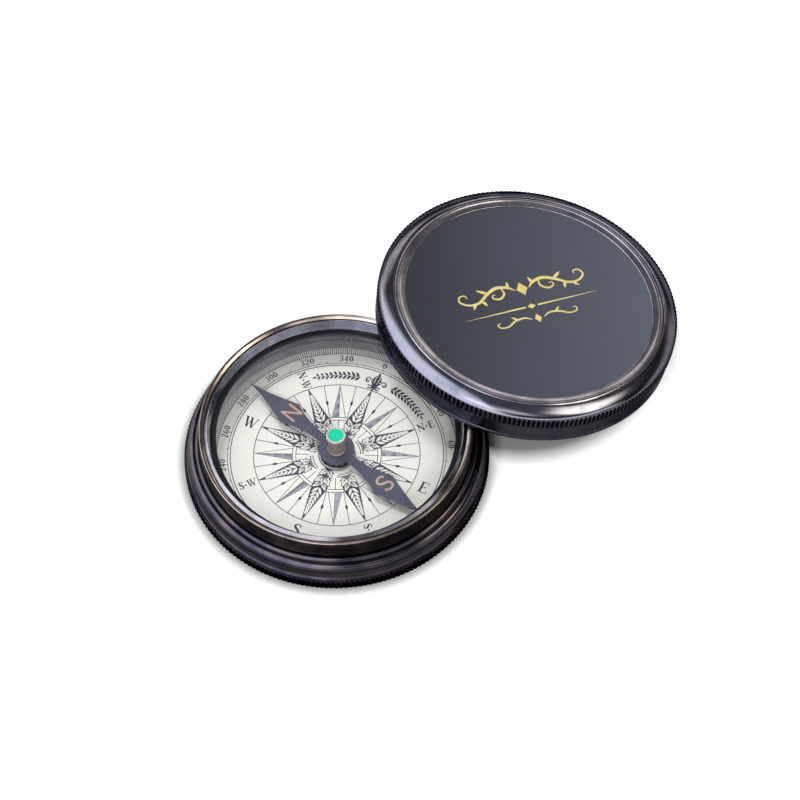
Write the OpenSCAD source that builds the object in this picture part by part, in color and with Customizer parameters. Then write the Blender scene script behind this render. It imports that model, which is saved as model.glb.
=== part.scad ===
// Pocket compass with a screw lid, shown with the lid taken off and leaning on the case.
// Millimetres, +Z up. The origin is the centre of the case's underside, and +X points
// from the case towards the lid.

/* [Case cup] */
// Outside diameter over the knurled foot band
case_d = 75; // [74:0.5:80]
// Height of the knurled foot band
foot_band_h = 2.9; // [2.2:0.1:3.6]
// Depth of the knurl grooves on the foot band and on the lid
knurl_depth = 0.35; // [0.2:0.05:0.5]
// Number of knurl grooves round the foot band and round the lid
knurl_count = 196; // [120:4:240]
// Thickness of the case floor
floor_t = 0.8; // [0.6:0.1:1.4]
// Height of the cup's moulded shoulder above the table
neck_top = 8.5; // [7.6:0.1:9.2]
// Thickness of the cup's lip round the collar's foot
cup_lip_t = 0.45; // [0.3:0.05:0.7]
// Bevel round the cup's lower edge
foot_bevel = 0.3; // [0.1:0.05:0.5]

/* [Threaded collar] */
// How far the collar stands in from the case's outside
collar_set_in = 4; // [3.5:0.1:4.5]
// Wall of the collar
collar_wall = 1.3; // [1.1:0.05:1.6]
// How deep the collar's foot sits in the cup
collar_seat_depth = 1.6; // [1:0.1:2]
// Fall of the collar's upper face towards the bezel
collar_fall = 0.5; // [0.3:0.05:0.7]
// Distance from one thread ridge to the next
thread_pitch = 0.75; // [0.6:0.05:0.9]
// Depth of the thread
thread_depth = 0.22; // [0.12:0.02:0.3]
// Number of thread ridges
thread_turns = 4; // [3:1:5]

/* [Dial] */
// Thickness of the plate under the dial card
dial_plate_t = 0.35; // [0.25:0.05:0.6]
// Thickness of the printed dial card
dial_card_t = 0.15; // [0.1:0.05:0.3]
// Direction of the dial's north mark, anticlockwise from +X
dial_north = 29.5; // [0:0.5:359]
// Height of the ring that holds the dial down
liner_h = 5.2; // [4:0.1:6]
// Wall of that ring and of the ring under the glass
liner_wall = 0.85; // [0.6:0.05:1]

/* [Glass] */
// Height of the ring that carries the glass
seat_h = 3.75; // [3.4:0.05:4.2]
// Thickness of the ledge at its top
seat_ledge_t = 0.6; // [0.4:0.05:0.9]
// Width of the ledge from the ring's outside
seat_ledge_w = 2.75; // [2.2:0.05:3.4]
// Thickness of the gasket under the glass
gasket_t = 0.4; // [0.2:0.05:0.6]
// How far the gasket shows inside the ledge
gasket_show = 0.1; // [0.05:0.05:0.3]
// Thickness of the glass
glass_t = 1; // [0.8:0.1:1.4]
// Ground bevel round the glass
glass_bevel = 0.15; // [0.05:0.05:0.3]
// How far the glass stays clear of the collar's bore
glass_side_gap = 0.3; // [0.1:0.05:0.5]

/* [Bezel ring] */
// Height of the bezel ring above the glass
bezel_h = 2.6; // [2.2:0.05:3.2]
// How far the bezel's inner edge stands above the collar
bezel_stand = 0.2; // [0.1:0.05:0.4]
// Fall of the bezel's bevel towards the collar
bezel_fall = 0.75; // [0.4:0.05:1]
// Width of that bevel
bezel_bevel_w = 0.8; // [0.5:0.05:1]
// How far the bezel's inner wall leans in on its way down to the glass
bezel_lean = 0.95; // [0.6:0.05:1.2]

/* [Pivot] */
// Diameter of the fluted boss at the dial's centre
boss_d = 7.3; // [6.8:0.1:8]
// Height of the fluted boss
boss_h = 1.1; // [0.8:0.1:1.5]
// Number of flutes round the boss
boss_flutes = 16; // [12:2:24]
// Depth of the flutes
boss_flute_depth = 0.3; // [0.1:0.05:0.4]
// Diameter of the boss's stem
boss_stem_d = 2.8; // [2.2:0.1:3.2]
// Height of the stem above the flutes
boss_stem_h = 0.5; // [0.3:0.05:0.65]
// Diameter of the spigot that goes through the dial
boss_spigot_d = 3; // [2.4:0.1:3.6]
// How far the bright washer under the boss shows round it
boss_washer_show = 0.6; // [0.3:0.05:0.9]
// Thickness of that washer
boss_washer_t = 0.3; // [0.2:0.05:0.4]
// Diameter of the steel pivot pin
pin_d = 0.9; // [0.7:0.05:1.1]
// Length of the pin's point
pin_point = 1.6; // [1:0.1:2]
// How deep the pin sits in the boss
pin_seat = 1.2; // [0.8:0.1:1.4]

/* [Needle] */
// Gap between the needle's tips and the ring round the dial
needle_tip_gap = 2.7; // [2:0.1:6]
// Width of the needle at its widest
needle_w = 6.8; // [5.6:0.1:7.6]
// Diameter of the needle's round hub
needle_hub_d = 8.9; // [8:0.1:9.6]
// Thickness of the needle
needle_t = 0.35; // [0.25:0.05:0.5]
// Height of the needle's upper face above the dial card
needle_lift = 2.9; // [2.75:0.05:4.4]
// Turn of the needle's north tip at rest, anticlockwise from the dial's north mark
needle_turn = 72.2; // [0:0.2:359]
// Thickness of the washer under the needle
needle_washer_t = 0.3; // [0.2:0.05:0.35]
// How far that washer stands in from the hub's edge
needle_washer_inset = 0.45; // [0.2:0.05:0.9]
// Diameter of the cap's spigot in the needle
cap_spigot_d = 3.8; // [3.4:0.1:4]
// Diameter of the cap's foot, which stands on the needle
cap_d = 4.6; // [4.4:0.05:5.4]
// Height of the cap's foot
cap_foot_h = 0.35; // [0.25:0.05:0.6]
// Diameter of the cap between its foot and its head
cap_waist_d = 4.1; // [3.9:0.05:4.3]
// Height of the cap's head
cap_head_h = 0.85; // [0.6:0.05:1.2]
// Height over which the waist widens to the foot and to the head
cap_flare_h = 0.3; // [0.2:0.05:0.5]
// Diameter of the cap's upper end
cap_top_d = 4.8; // [4.5:0.05:5.2]
// Air left between the cap and the glass
cap_glass_gap = 0.3; // [0.2:0.05:0.6]
// Width of the brass rim round the green spot in the cap's upper end
spot_rim = 0.53; // [0.35:0.02:0.7]
// Depth of the recess that holds the spot
spot_recess = 0.3; // [0.2:0.05:0.4]
// Thickness of the spot
spot_t = 0.22; // [0.1:0.02:0.3]
// Thickness of the web between the spot and the bore
cap_web = 0.25; // [0.2:0.05:0.4]
// Diameter of the jewel
jewel_d = 2.2; // [1.8:0.1:2.6]
// Height of the jewel
jewel_h = 0.7; // [0.6:0.05:0.9]
// Depth of the jewel's cone
jewel_cone = 0.4; // [0.3:0.05:0.5]

/* [Lid] */
// Height of the lid's bead along its lower edge
lid_bead_h = 1.25; // [1:0.05:1.5]
// How far the bead stands in from the knurl
lid_bead_set_in = 0.5; // [0.4:0.05:0.8]
// Height of the plain skirt above the bead
lid_skirt_h = 3.9; // [3.4:0.1:4.4]
// Height of the knurled band
lid_band_h = 2.6; // [2:0.1:3]
// Height of the moulded shoulder above the knurl
lid_crown_h = 2; // [1.8:0.05:2.4]
// Thickness of the web under the lid's plate
lid_web_t = 0.8; // [0.6:0.1:1.2]
// Clearance between the collar's thread and the lid's thread
lid_thread_gap = 0.3; // [0.15:0.05:0.4]
// Height of the lid's inner thread above its lower edge
lid_thread_h = 4.4; // [3.8:0.1:5]
// Wall of the lid above its thread
lid_wall = 2.1; // [1.6:0.1:2.6]
// Width of the groove lines beside the skirt
lid_line_w = 0.16; // [0.1:0.02:0.24]
// Depth of the groove lines beside the skirt
lid_line_depth = 0.25; // [0.15:0.05:0.35]

/* [Lid plate] */
// Width of the moulded crown round the recess that holds the plate and its ring
crown_w = 3.45; // [3:0.05:3.8]
// Depth of that recess below the shoulder's crest
recess_depth = 1.25; // [1.1:0.05:1.4]
// Thickness of the plate
plate_t = 0.5; // [0.4:0.05:0.6]
// Width of the ring round the plate
ring_w = 2.65; // [2:0.05:3.2]
// Rise of the ring's crest over the plate
ring_rise = 0.65; // [0.5:0.05:0.8]
// Thickness of the ring's inner edge
ring_edge = 0.15; // [0.1:0.05:0.25]

/* [Lid at rest] */
// How far the leaning lid laps over the case
lid_lap = 18.1; // [13:0.5:21]
// Gap left where the lid rests on the collar
rest_gap = 0.12; // [0.08:0.02:0.2]

/* [Fits] */
// Clearance all round between rings that sit in one another
fit_gap = 0.05; // [0.03:0.01:0.08]
// Play between the pin's point and the jewel
pivot_play = 0.03; // [0.02:0.01:0.05]

/* [Hidden] */
$fn = 128;

// How far a cut runs past the face it opens
over = 0.5;

// Radii and levels of the case
case_r = case_d / 2;
knurl_root = case_r - knurl_depth;
collar_r = case_r - collar_set_in;
bore_r = collar_r - collar_wall;
inner_r = bore_r - fit_gap;
rebate_r = collar_r + fit_gap;
neck_r = rebate_r + cup_lip_t;
collar_foot = neck_top - collar_seat_depth;
plate_z = floor_t;
card_z = plate_z + dial_plate_t;
dial_z = card_z + dial_card_t;
seat_z = dial_z + liner_h;
gasket_z = seat_z + seat_h;
glass_z = gasket_z + gasket_t;
glass_top = glass_z + glass_t;
glass_r = bore_r - glass_side_gap;
collar_top = glass_top + bezel_h - bezel_stand;
bezel_top_r = inner_r - bezel_bevel_w;
bezel_sight_r = bezel_top_r - bezel_lean;
seat_opening_r = inner_r - seat_ledge_w;

// Levels of the pivot and the needle
boss_z = dial_z + boss_washer_t;
boss_top = boss_z + boss_h;
stem_top = boss_top + boss_stem_h;
needle_half_l = inner_r - liner_wall - needle_tip_gap;
needle_top = dial_z + needle_lift;
needle_z = needle_top - needle_t;
needle_washer_z = needle_z - needle_washer_t;
cap_top = glass_z - cap_glass_gap;
cap_h = cap_top - needle_top;
spot_d = cap_top_d - 2 * spot_rim;
cap_bore_top = cap_top - spot_recess - cap_web;
jewel_z = cap_bore_top - jewel_h;
pin_tip = jewel_z + jewel_cone - pivot_play;

// Radii and levels of the lid, from its lower edge
lid_x = case_d - lid_lap;
lid_bead_r = case_r - lid_bead_set_in;
lid_foot_round = lid_bead_h / 4;
lid_foot_r = lid_bead_r - lid_foot_round;
lid_mouth_r = collar_r + lid_thread_gap;
lid_line1 = lid_bead_h;
lid_skirt_z = lid_line1 + lid_line_w;
lid_line2 = lid_skirt_z + lid_skirt_h - lid_line_w;
lid_band_z = lid_skirt_z + lid_skirt_h;
lid_crown_z = lid_band_z + lid_band_h;
lid_top = lid_crown_z + lid_crown_h;
lid_floor_z = lid_top - recess_depth;
lid_ceiling = lid_floor_z - lid_web_t;
lid_inner_r = lid_bead_r - lid_wall;
recess_r = knurl_root - crown_w;
lid_part_r = recess_r - fit_gap;

// Outlines as shares of the step that they fill: [in from the outer edge, up]
cove_shares = [[0.07, 0.07], [0.36, 0.16], [0.28, 0.55]];
lower_bead_shares = [[0.28, 0.55], [0.33, 0.77], [0.68, 0.79]];
upper_bead_shares = [[0.78, 0.83], [0.80, 0.97], [1, 1]];
bead_groove_shares = [[0.73, 0.75], [0.77, 0.78]];
crown_side_shares = [[0, 0.02], [0.06, 0.34], [0.26, 0.50]];
crown_slope_shares = [[0.26, 0.50], [0.56, 0.76], [0.86, 0.99]];
crown_edge_shares = [[0.86, 0.99], [0.99, 1.06], [1, 0.78]];
// The needle's side, as shares of its half length and half width
needle_waist_shares = [[0.165, 0.32], [0.39, 0.34], [0.545, 1]];
needle_point_shares = [[0.545, 1], [0.86, 0.13], [1, 0.012]];
// The ring's section, as shares of its width and of its rise
ring_slope_shares = [[0, 0.08], [0.52, 0.30], [0.62, 0.80]];
ring_crest_shares = [[0.62, 0.80], [0.80, 1.25], [1, 0.50]];
curve_steps = 6;
point_steps = 8;

// Tilt of the leaning lid. Its lower edge stands on the table at the far side, and its
// mouth's rim lies on the collar at the two places where the circles cross.
function cross_x(k) = (k * lid_x
    - sqrt(pow(k * lid_x, 2) - (k - 1) * (k * pow(lid_x, 2) + pow(collar_r, 2) - pow(lid_mouth_r, 2))))
    / (k - 1);
function tilt_step(a) = atan((collar_top + rest_gap + lid_foot_round * (1 - 1 / cos(a)))
    / (lid_x + lid_foot_r * cos(a) - cross_x(1 / pow(cos(a), 2))));
function solve_tilt(a, n) = n < 1 ? a : solve_tilt(tilt_step(a), n - 1);
first_tilt = 12;
tilt_rounds = 8;
lid_tilt = solve_tilt(first_tilt, tilt_rounds);
lid_lip_z = lid_foot_r * sin(lid_tilt) + lid_foot_round * (1 - cos(lid_tilt));

// Points along a smooth curve from the first point to the third, drawn towards the second
function bend(p, n) = [for (i = [0:n]) let (t = i / n)
    pow(1 - t, 2) * p[0] + 2 * t * (1 - t) * p[1] + pow(t, 2) * p[2]];
// Places shares in a step: outwards edge r, width w going inwards, lower level z, height h
function placed(s, r, w, z, h) = [for (p = s) [r - p[0] * w, z + p[1] * h]];

// A band of straight knurl grooves round a cylinder
module knurl_band(r, depth, h) {
    pitch = 360 / knurl_count;
    // Where a tooth's four corners lie along its pitch
    tooth_shares = [0, 0.14, 0.5, 0.64];
    linear_extrude(h)
        polygon([for (i = [0:knurl_count - 1], j = [0:3])
            let (a = (i + tooth_shares[j]) * pitch, rr = j == 1 || j == 2 ? r : r - depth)
            [rr * cos(a), rr * sin(a)]]);
}

// Ridges of a thread on the wall at radius r, drawn as parallel rings, downwards from z
function ridges(r, depth, pitch, turns, z) = [for (i = [0:turns - 1], p = [[depth, 0.25], [depth, 0.5],
    [0, 0.75], [0, 1]]) [r - p[0], z - (i + p[1]) * pitch]];

// Turned cup with the knurled foot and the moulded shoulder
module case_cup() {
    shoulder_w = knurl_root - neck_r;
    shoulder_h = neck_top - foot_band_h;
    function at(s) = placed(s, knurl_root, shoulder_w, foot_band_h, shoulder_h);
    color("#2a2630") difference() {
        union() {
            rotate_extrude()
                polygon(concat(
                    [[0, 0], [knurl_root - foot_bevel, 0], [knurl_root, foot_bevel]],
                    [[knurl_root, foot_band_h]],
                    at(bend(cove_shares, curve_steps)),
                    at(bend(lower_bead_shares, curve_steps)),
                    at(bead_groove_shares),
                    at(bend(upper_bead_shares, curve_steps)),
                    [[0, neck_top]]));
            translate([0, 0, foot_bevel])
                knurl_band(case_r, knurl_depth, foot_band_h - foot_bevel);
        }
        translate([0, 0, floor_t])
            cylinder(r = bore_r, h = neck_top);
        translate([0, 0, collar_foot])
            cylinder(r = rebate_r, h = neck_top);
    }
}

// Collar ring that carries the screw thread and holds the glass
module threaded_collar() {
    thread_top = collar_top - thread_pitch;
    color("#5a4f4c") rotate_extrude()
        polygon(concat(
            [[bore_r, collar_foot], [bore_r, collar_top - collar_fall]],
            [[collar_r - thread_depth, collar_top], [collar_r, collar_top - thread_depth]],
            [[collar_r, thread_top]],
            ridges(collar_r, thread_depth, thread_pitch, thread_turns, thread_top),
            [[collar_r, collar_foot]]));
}

// Brass plate under the dial card
module dial_plate() color("#8d7a45")
    translate([0, 0, plate_z])
        dial_disc(dial_plate_t);

// Printed dial card
module dial_card() color("#e6e7dc")
    translate([0, 0, card_z])
        dial_disc(dial_card_t);

// A disc as wide as the dial, with the hole for the boss's spigot
module dial_disc(t)
    difference() {
        cylinder(r = inner_r, h = t);
        translate([0, 0, -over])
            cylinder(r = boss_spigot_d / 2 + fit_gap, h = t + 2 * over);
    }

// Ring that holds the dial down
module dial_hold_ring() color("#54565c")
    translate([0, 0, dial_z])
        difference() {
            cylinder(r = inner_r, h = liner_h);
            translate([0, 0, -over])
                cylinder(r = inner_r - liner_wall, h = liner_h + 2 * over);
        }

// Ring with the inward ledge that carries the glass
module glass_seat_ring() color("#3a3a3e")
    translate([0, 0, seat_z])
        difference() {
            cylinder(r = inner_r, h = seat_h);
            translate([0, 0, -over])
                cylinder(r = inner_r - liner_wall, h = seat_h - seat_ledge_t + over);
            cylinder(r = seat_opening_r, h = seat_h + over);
        }

// Black gasket between the ledge and the glass
module glass_gasket() color("#101012")
    translate([0, 0, gasket_z])
        difference() {
            cylinder(r = glass_r, h = gasket_t);
            translate([0, 0, -over])
                cylinder(r = seat_opening_r - gasket_show, h = gasket_t + 2 * over);
        }

// Flat glass with a ground edge
module crystal() color("#cfe0e4", 0.35)
    translate([0, 0, glass_z])
        rotate_extrude()
            polygon([[0, 0], [glass_r - glass_bevel, 0], [glass_r, glass_bevel],
                [glass_r, glass_t - glass_bevel], [glass_r - glass_bevel, glass_t], [0, glass_t]]);

// Bright ring that traps the glass in the collar
module bezel_ring() color("#b9b4ac")
    translate([0, 0, glass_top])
        rotate_extrude()
            polygon([[bezel_sight_r, 0], [inner_r, 0], [inner_r, bezel_h - bezel_fall],
                [bezel_top_r, bezel_h]]);

// Bright washer on the dial card
module boss_washer() color("#c8c8c2")
    translate([0, 0, dial_z])
        difference() {
            cylinder(r = boss_d / 2 + boss_washer_show, h = boss_washer_t);
            translate([0, 0, -over])
                cylinder(r = boss_spigot_d / 2 + fit_gap, h = boss_washer_t + 2 * over);
        }

// Fluted brass boss whose spigot goes down through the dial to the case floor
module pivot_boss() {
    spigot_l = boss_z - plate_z;
    flute_steps = 6;
    color("#6d6a66") difference() {
        union() {
            translate([0, 0, boss_z])
                linear_extrude(boss_h)
                    polygon([for (i = [0:flute_steps * boss_flutes - 1])
                        let (a = i * 360 / (flute_steps * boss_flutes),
                            r = boss_d / 2 - boss_flute_depth * (1 - abs(sin(boss_flutes * a / 2))))
                        [r * cos(a), r * sin(a)]]);
            translate([0, 0, plate_z])
                cylinder(d = boss_spigot_d, h = spigot_l + boss_h / 2);
            translate([0, 0, boss_z])
                cylinder(d = boss_stem_d, h = boss_h + boss_stem_h);
        }
        translate([0, 0, stem_top - pin_seat])
            cylinder(d = pin_d + 2 * fit_gap, h = pin_seat + over);
    }
}

// Steel pin that the needle turns on
module pivot_pin() {
    pin_l = pin_tip - stem_top + pin_seat;
    color("#9aa0a6") translate([0, 0, stem_top - pin_seat]) {
        cylinder(d = pin_d, h = pin_l - pin_point);
        translate([0, 0, pin_l - pin_point])
            cylinder(d1 = pin_d, d2 = 0, h = pin_point);
    }
}

// Turns a piece of the needle to where the needle points at rest
module needle_place() rotate([0, 0, dial_north + needle_turn]) children();

// One side of the needle's outline, from the waist to the tip
function needle_side() = [for (s = [needle_waist_shares, needle_point_shares], p = bend(s, point_steps))
    [p[0] * needle_half_l, p[1] * needle_w / 2]];
function flipped(pts, x, y) = [for (i = [len(pts) - 1:-1:0]) [x * pts[i][0], y * pts[i][1]]];
function mirrored(pts, x, y) = [for (p = pts) [x * p[0], y * p[1]]];

// Blued steel needle with a round hub
module needle() color("#585d72")
    needle_place()
        translate([0, 0, needle_z])
            difference() {
                union() {
                    linear_extrude(needle_t)
                        polygon(concat(needle_side(), flipped(needle_side(), 1, -1),
                            mirrored(needle_side(), -1, -1), flipped(needle_side(), -1, 1)));
                    cylinder(d = needle_hub_d, h = needle_t);
                }
                translate([0, 0, -over])
                    cylinder(r = cap_spigot_d / 2 + fit_gap, h = needle_t + 2 * over);
            }

// Washer that backs the needle's hub
module needle_washer() color("#44464e")
    needle_place()
        translate([0, 0, needle_washer_z])
            difference() {
                cylinder(r = needle_hub_d / 2 - needle_washer_inset, h = needle_washer_t);
                translate([0, 0, -over])
                    cylinder(r = cap_spigot_d / 2 + fit_gap, h = needle_washer_t + 2 * over);
            }

// Brass cap that carries the needle on the pin
module needle_cap() color("#b08a66")
    needle_place()
        difference() {
            union() {
                translate([0, 0, needle_washer_z])
                    cylinder(d = cap_spigot_d, h = needle_top - needle_washer_z + cap_h / 2);
                translate([0, 0, needle_top]) {
                    cylinder(d = cap_d, h = cap_foot_h);
                    translate([0, 0, cap_foot_h])
                        cylinder(d1 = cap_d, d2 = cap_waist_d, h = cap_flare_h);
                    cylinder(d = cap_waist_d, h = cap_h);
                    translate([0, 0, cap_h - cap_head_h - cap_flare_h])
                        cylinder(d1 = cap_waist_d, d2 = cap_top_d, h = cap_flare_h);
                    translate([0, 0, cap_h - cap_head_h])
                        cylinder(d = cap_top_d, h = cap_head_h);
                }
            }
            translate([0, 0, needle_washer_z - over])
                cylinder(r = jewel_d / 2 + fit_gap, h = cap_bore_top - needle_washer_z + over);
            translate([0, 0, cap_top - spot_recess])
                cylinder(d = spot_d + 2 * fit_gap, h = spot_recess + over);
        }

// Jewel with the cone that the pin's point turns in
module cap_jewel() color("#6e1f24")
    needle_place()
        translate([0, 0, jewel_z])
            difference() {
                cylinder(d = jewel_d, h = jewel_h);
                cylinder(d1 = jewel_d / 2, d2 = 0, h = jewel_cone);
            }

// Green enamel spot in the cap's upper end
module cap_spot() color("#14d08a")
    needle_place()
        translate([0, 0, cap_top - spot_recess])
            cylinder(d = spot_d, h = spot_t);

// Puts a piece of the lid where the lid leans at rest
module lid_place() translate([lid_x, 0, lid_lip_z]) rotate([0, lid_tilt, 0]) children();

// Turned lid: bead, skirt, knurl and moulded crown outside, thread and web inside
module lid_shell() {
    line_r = lid_bead_r - lid_line_depth;
    function at(s) = placed(s, knurl_root, crown_w, lid_crown_z, lid_crown_h);
    color("#2a2630") lid_place() difference() {
        union() {
            rotate_extrude()
                polygon(concat(
                    [[0, 0], [lid_foot_r, 0]],
                    [for (i = [1:curve_steps]) let (a = 90 * i / curve_steps)
                        [lid_foot_r + lid_foot_round * sin(a), lid_foot_round * (1 - cos(a))]],
                    [[lid_bead_r, lid_line1 - lid_foot_round], [line_r, lid_line1]],
                    [[line_r, lid_skirt_z], [lid_bead_r, lid_skirt_z]],
                    [[lid_bead_r, lid_line2], [line_r, lid_line2], [line_r, lid_band_z]],
                    [[knurl_root, lid_band_z]],
                    at(bend(crown_side_shares, curve_steps)),
                    at(bend(crown_slope_shares, curve_steps)),
                    at(bend(crown_edge_shares, curve_steps)),
                    [[recess_r, lid_floor_z], [0, lid_floor_z]]));
            translate([0, 0, lid_band_z])
                knurl_band(case_r, knurl_depth, lid_band_h);
        }
        translate([0, 0, -over])
            cylinder(r = lid_mouth_r, h = lid_thread_h + over);
        translate([0, 0, lid_thread_h - thread_pitch])
            cylinder(r = lid_inner_r, h = lid_ceiling - lid_thread_h + thread_pitch);
        for (i = [1:thread_turns])
            translate([0, 0, i * thread_pitch])
                rotate_extrude()
                    polygon([[0, 0], [lid_mouth_r, 0], [lid_mouth_r + thread_depth, thread_pitch / 4],
                        [lid_mouth_r, thread_pitch / 2], [0, thread_pitch / 2]]);
    }
}

// Satin plate set into the lid
module lid_plate() color("#464a55")
    lid_place()
        translate([0, 0, lid_floor_z])
            cylinder(r = lid_part_r, h = plate_t);

// Ring that trims and holds the plate
module lid_ring() {
    show_r = lid_part_r - ring_w;
    ring_z = lid_floor_z + plate_t;
    function at(s) = [for (p = s)
        [show_r + p[0] * ring_w, ring_z + ring_edge + p[1] * (ring_rise - ring_edge)]];
    color("#6e6468") lid_place()
        rotate_extrude()
            polygon(concat(
                [[show_r, ring_z]],
                at(bend(ring_slope_shares, curve_steps)),
                at(bend(ring_crest_shares, curve_steps)),
                [[lid_part_r, ring_z]]));
}

case_cup();
threaded_collar();
dial_plate();
dial_card();
dial_hold_ring();
glass_seat_ring();
glass_gasket();
crystal();
bezel_ring();
boss_washer();
pivot_boss();
pivot_pin();
needle();
needle_washer();
needle_cap();
cap_jewel();
cap_spot();
lid_shell();
lid_plate();
lid_ring();
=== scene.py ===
import bpy
import math
from mathutils import Matrix, Vector


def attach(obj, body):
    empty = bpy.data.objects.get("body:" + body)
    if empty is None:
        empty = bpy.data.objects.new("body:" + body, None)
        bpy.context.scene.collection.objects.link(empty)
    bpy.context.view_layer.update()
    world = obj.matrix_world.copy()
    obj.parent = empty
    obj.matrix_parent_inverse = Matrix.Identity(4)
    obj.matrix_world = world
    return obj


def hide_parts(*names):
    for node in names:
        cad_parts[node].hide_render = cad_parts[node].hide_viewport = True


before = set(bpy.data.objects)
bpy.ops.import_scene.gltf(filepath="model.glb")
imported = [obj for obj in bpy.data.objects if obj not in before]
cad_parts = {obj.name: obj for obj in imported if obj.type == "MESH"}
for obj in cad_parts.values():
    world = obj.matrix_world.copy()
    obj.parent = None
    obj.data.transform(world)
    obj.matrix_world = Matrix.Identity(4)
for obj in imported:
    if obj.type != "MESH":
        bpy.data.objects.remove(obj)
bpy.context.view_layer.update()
mm = 0.001  # sizes below are in millimetres, and node sizes in metres
print("frame loaded")


def bend(a, c, b, steps=8):
    # points of a bent line from a to b, pulled towards c
    pts = []
    for i in range(steps + 1):
        t = i / steps
        pts.append(tuple((1 - t) ** 2 * p + 2 * t * (1 - t) * q + t * t * r for p, q, r in zip(a, c, b)))
    return pts


def corner(r, z, rounding=0.0, finish=None, edge=None, teeth=0.0, thread=0.0):
    # finish is for the stretch that starts here, edge for the rounding itself
    return dict(r=r, z=z, rounding=rounding, finish=finish, edge=edge, teeth=teeth, thread=thread)


def along(points, finish, rounding=0.0):
    return [corner(r, z, rounding, finish=finish) for r, z in points]


def roundedOutline(corners, closed):
    # rounds each corner with an arc and adds a point close by, so that flats shade flat
    sideShare, guardShare, arcSteps = 0.42, 0.5, 4  # an arc takes at most sideShare of a side
    pts, current = [], corners[0]["finish"] or 0
    count = len(corners)
    for i, c in enumerate(corners):
        before = current
        if c["finish"] is not None:
            current = c["finish"]
        edge = c["edge"] if c["edge"] is not None else current
        marks = (c["teeth"], c["thread"])
        isEnd = not closed and i in (0, count - 1)
        if c["rounding"] <= 0 or isEnd:
            pts.append((c["r"], c["z"], current, *marks))
            continue
        here = Vector((c["r"], c["z"]))
        previous, following = corners[i - 1], corners[(i + 1) % count]
        back = Vector((previous["r"], previous["z"])) - here
        ahead = Vector((following["r"], following["z"])) - here
        backRoom, aheadRoom = back.length * sideShare, ahead.length * sideShare
        back.normalize()
        ahead.normalize()
        half = back.angle(ahead) / 2
        reach = min(c["rounding"] / math.tan(half), backRoom, aheadRoom)
        radius = reach * math.tan(half)
        centre = here + (back + ahead).normalized() * (radius / math.sin(half))
        start, end = here + back * reach, here + ahead * reach
        guard = reach * guardShare
        if backRoom > reach + guard:
            p = start + back * guard
            pts.append((p.x, p.y, before, *marks))
        spoke = start - centre
        sweep = spoke.angle_signed(end - centre)
        for k in range(arcSteps + 1):
            a = -sweep * k / arcSteps
            x = spoke.x * math.cos(a) - spoke.y * math.sin(a) + centre.x
            y = spoke.x * math.sin(a) + spoke.y * math.cos(a) + centre.y
            pts.append((x, y, edge if k < arcSteps else current, *marks))
        if aheadRoom > reach + guard:
            p = end + ahead * guard
            pts.append((p.x, p.y, current, *marks))
    return pts


def buildObject(name, verts, faces, finishes, faceFinish=None, smooth=True, place=None):
    mesh = bpy.data.meshes.new(name)
    mesh.from_pydata([tuple(c * mm for c in v) for v in verts], [], faces)
    for finish in finishes:
        mesh.materials.append(finish)
    if faceFinish:
        mesh.polygons.foreach_set("material_index", faceFinish)
    mesh.polygons.foreach_set("use_smooth", [smooth] * len(mesh.polygons))
    mesh.validate()
    mesh.update()
    piece = bpy.data.objects.new(name, mesh)
    bpy.context.scene.collection.objects.link(piece)
    if place:
        piece.matrix_world = place
    return piece


toothShape = (1.0, 0.86, 0.3, 0.04, 0.0, 0.04, 0.3, 0.86)  # how deep one tooth's points lie
groovePoints = (0, 1, 6, 7)  # the faces of a tooth that lie in its groove
plainSteps = 392  # points in a ring without teeth: two for each tooth of the knurl


def ringPoints(r, z, count, teeth, threadShare, knurl, thread):
    points = []
    for i in range(count):
        a = 2 * math.pi * i / count
        out = r
        if teeth > 0:
            out -= knurl["depth"] * teeth * toothShape[i % len(toothShape)]
        if threadShare > 0:
            phase = (z / thread["pitch"] - i / count) % 1.0
            ridge = 0.5 - 0.5 * math.cos(2 * math.pi * phase)
            out += thread["depth"] * threadShare * (ridge ** 0.8 - 1)
        points.append((out * math.cos(a), out * math.sin(a), z))
    return points


def ringFaces(s0, n0, s1, n1):
    # the faces between two rings, each given by its first point and its number of points
    if n0 == 1 and n1 == 1:
        return []
    if n0 == 1:
        return [(s0, s1 + (i + 1) % n1, s1 + i) for i in range(n1)]
    if n1 == 1:
        return [(s0 + i, s0 + (i + 1) % n0, s1) for i in range(n0)]
    if n0 == n1:
        return [(s0 + i, s0 + (i + 1) % n0, s1 + (i + 1) % n1, s1 + i) for i in range(n0)]
    # a plain ring meets a toothed one: each plain edge fans out to several points
    (plain, plainCount), (fine, fineCount) = sorted(((s0, n0), (s1, n1)), key=lambda ring: ring[1])
    per = fineCount // plainCount
    faces = []
    for i in range(plainCount):
        a, b = plain + i, plain + (i + 1) % plainCount
        run = [fine + (i * per + k) % fineCount for k in range(per + 1)]
        fan = [(a, run[k], run[k + 1]) for k in range(per // 2)]
        fan.append((a, run[per // 2], b))
        fan += [(b, run[k], run[k + 1]) for k in range(per // 2, per)]
        faces += [f[::-1] for f in fan] if n0 < n1 else fan
    return faces


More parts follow.
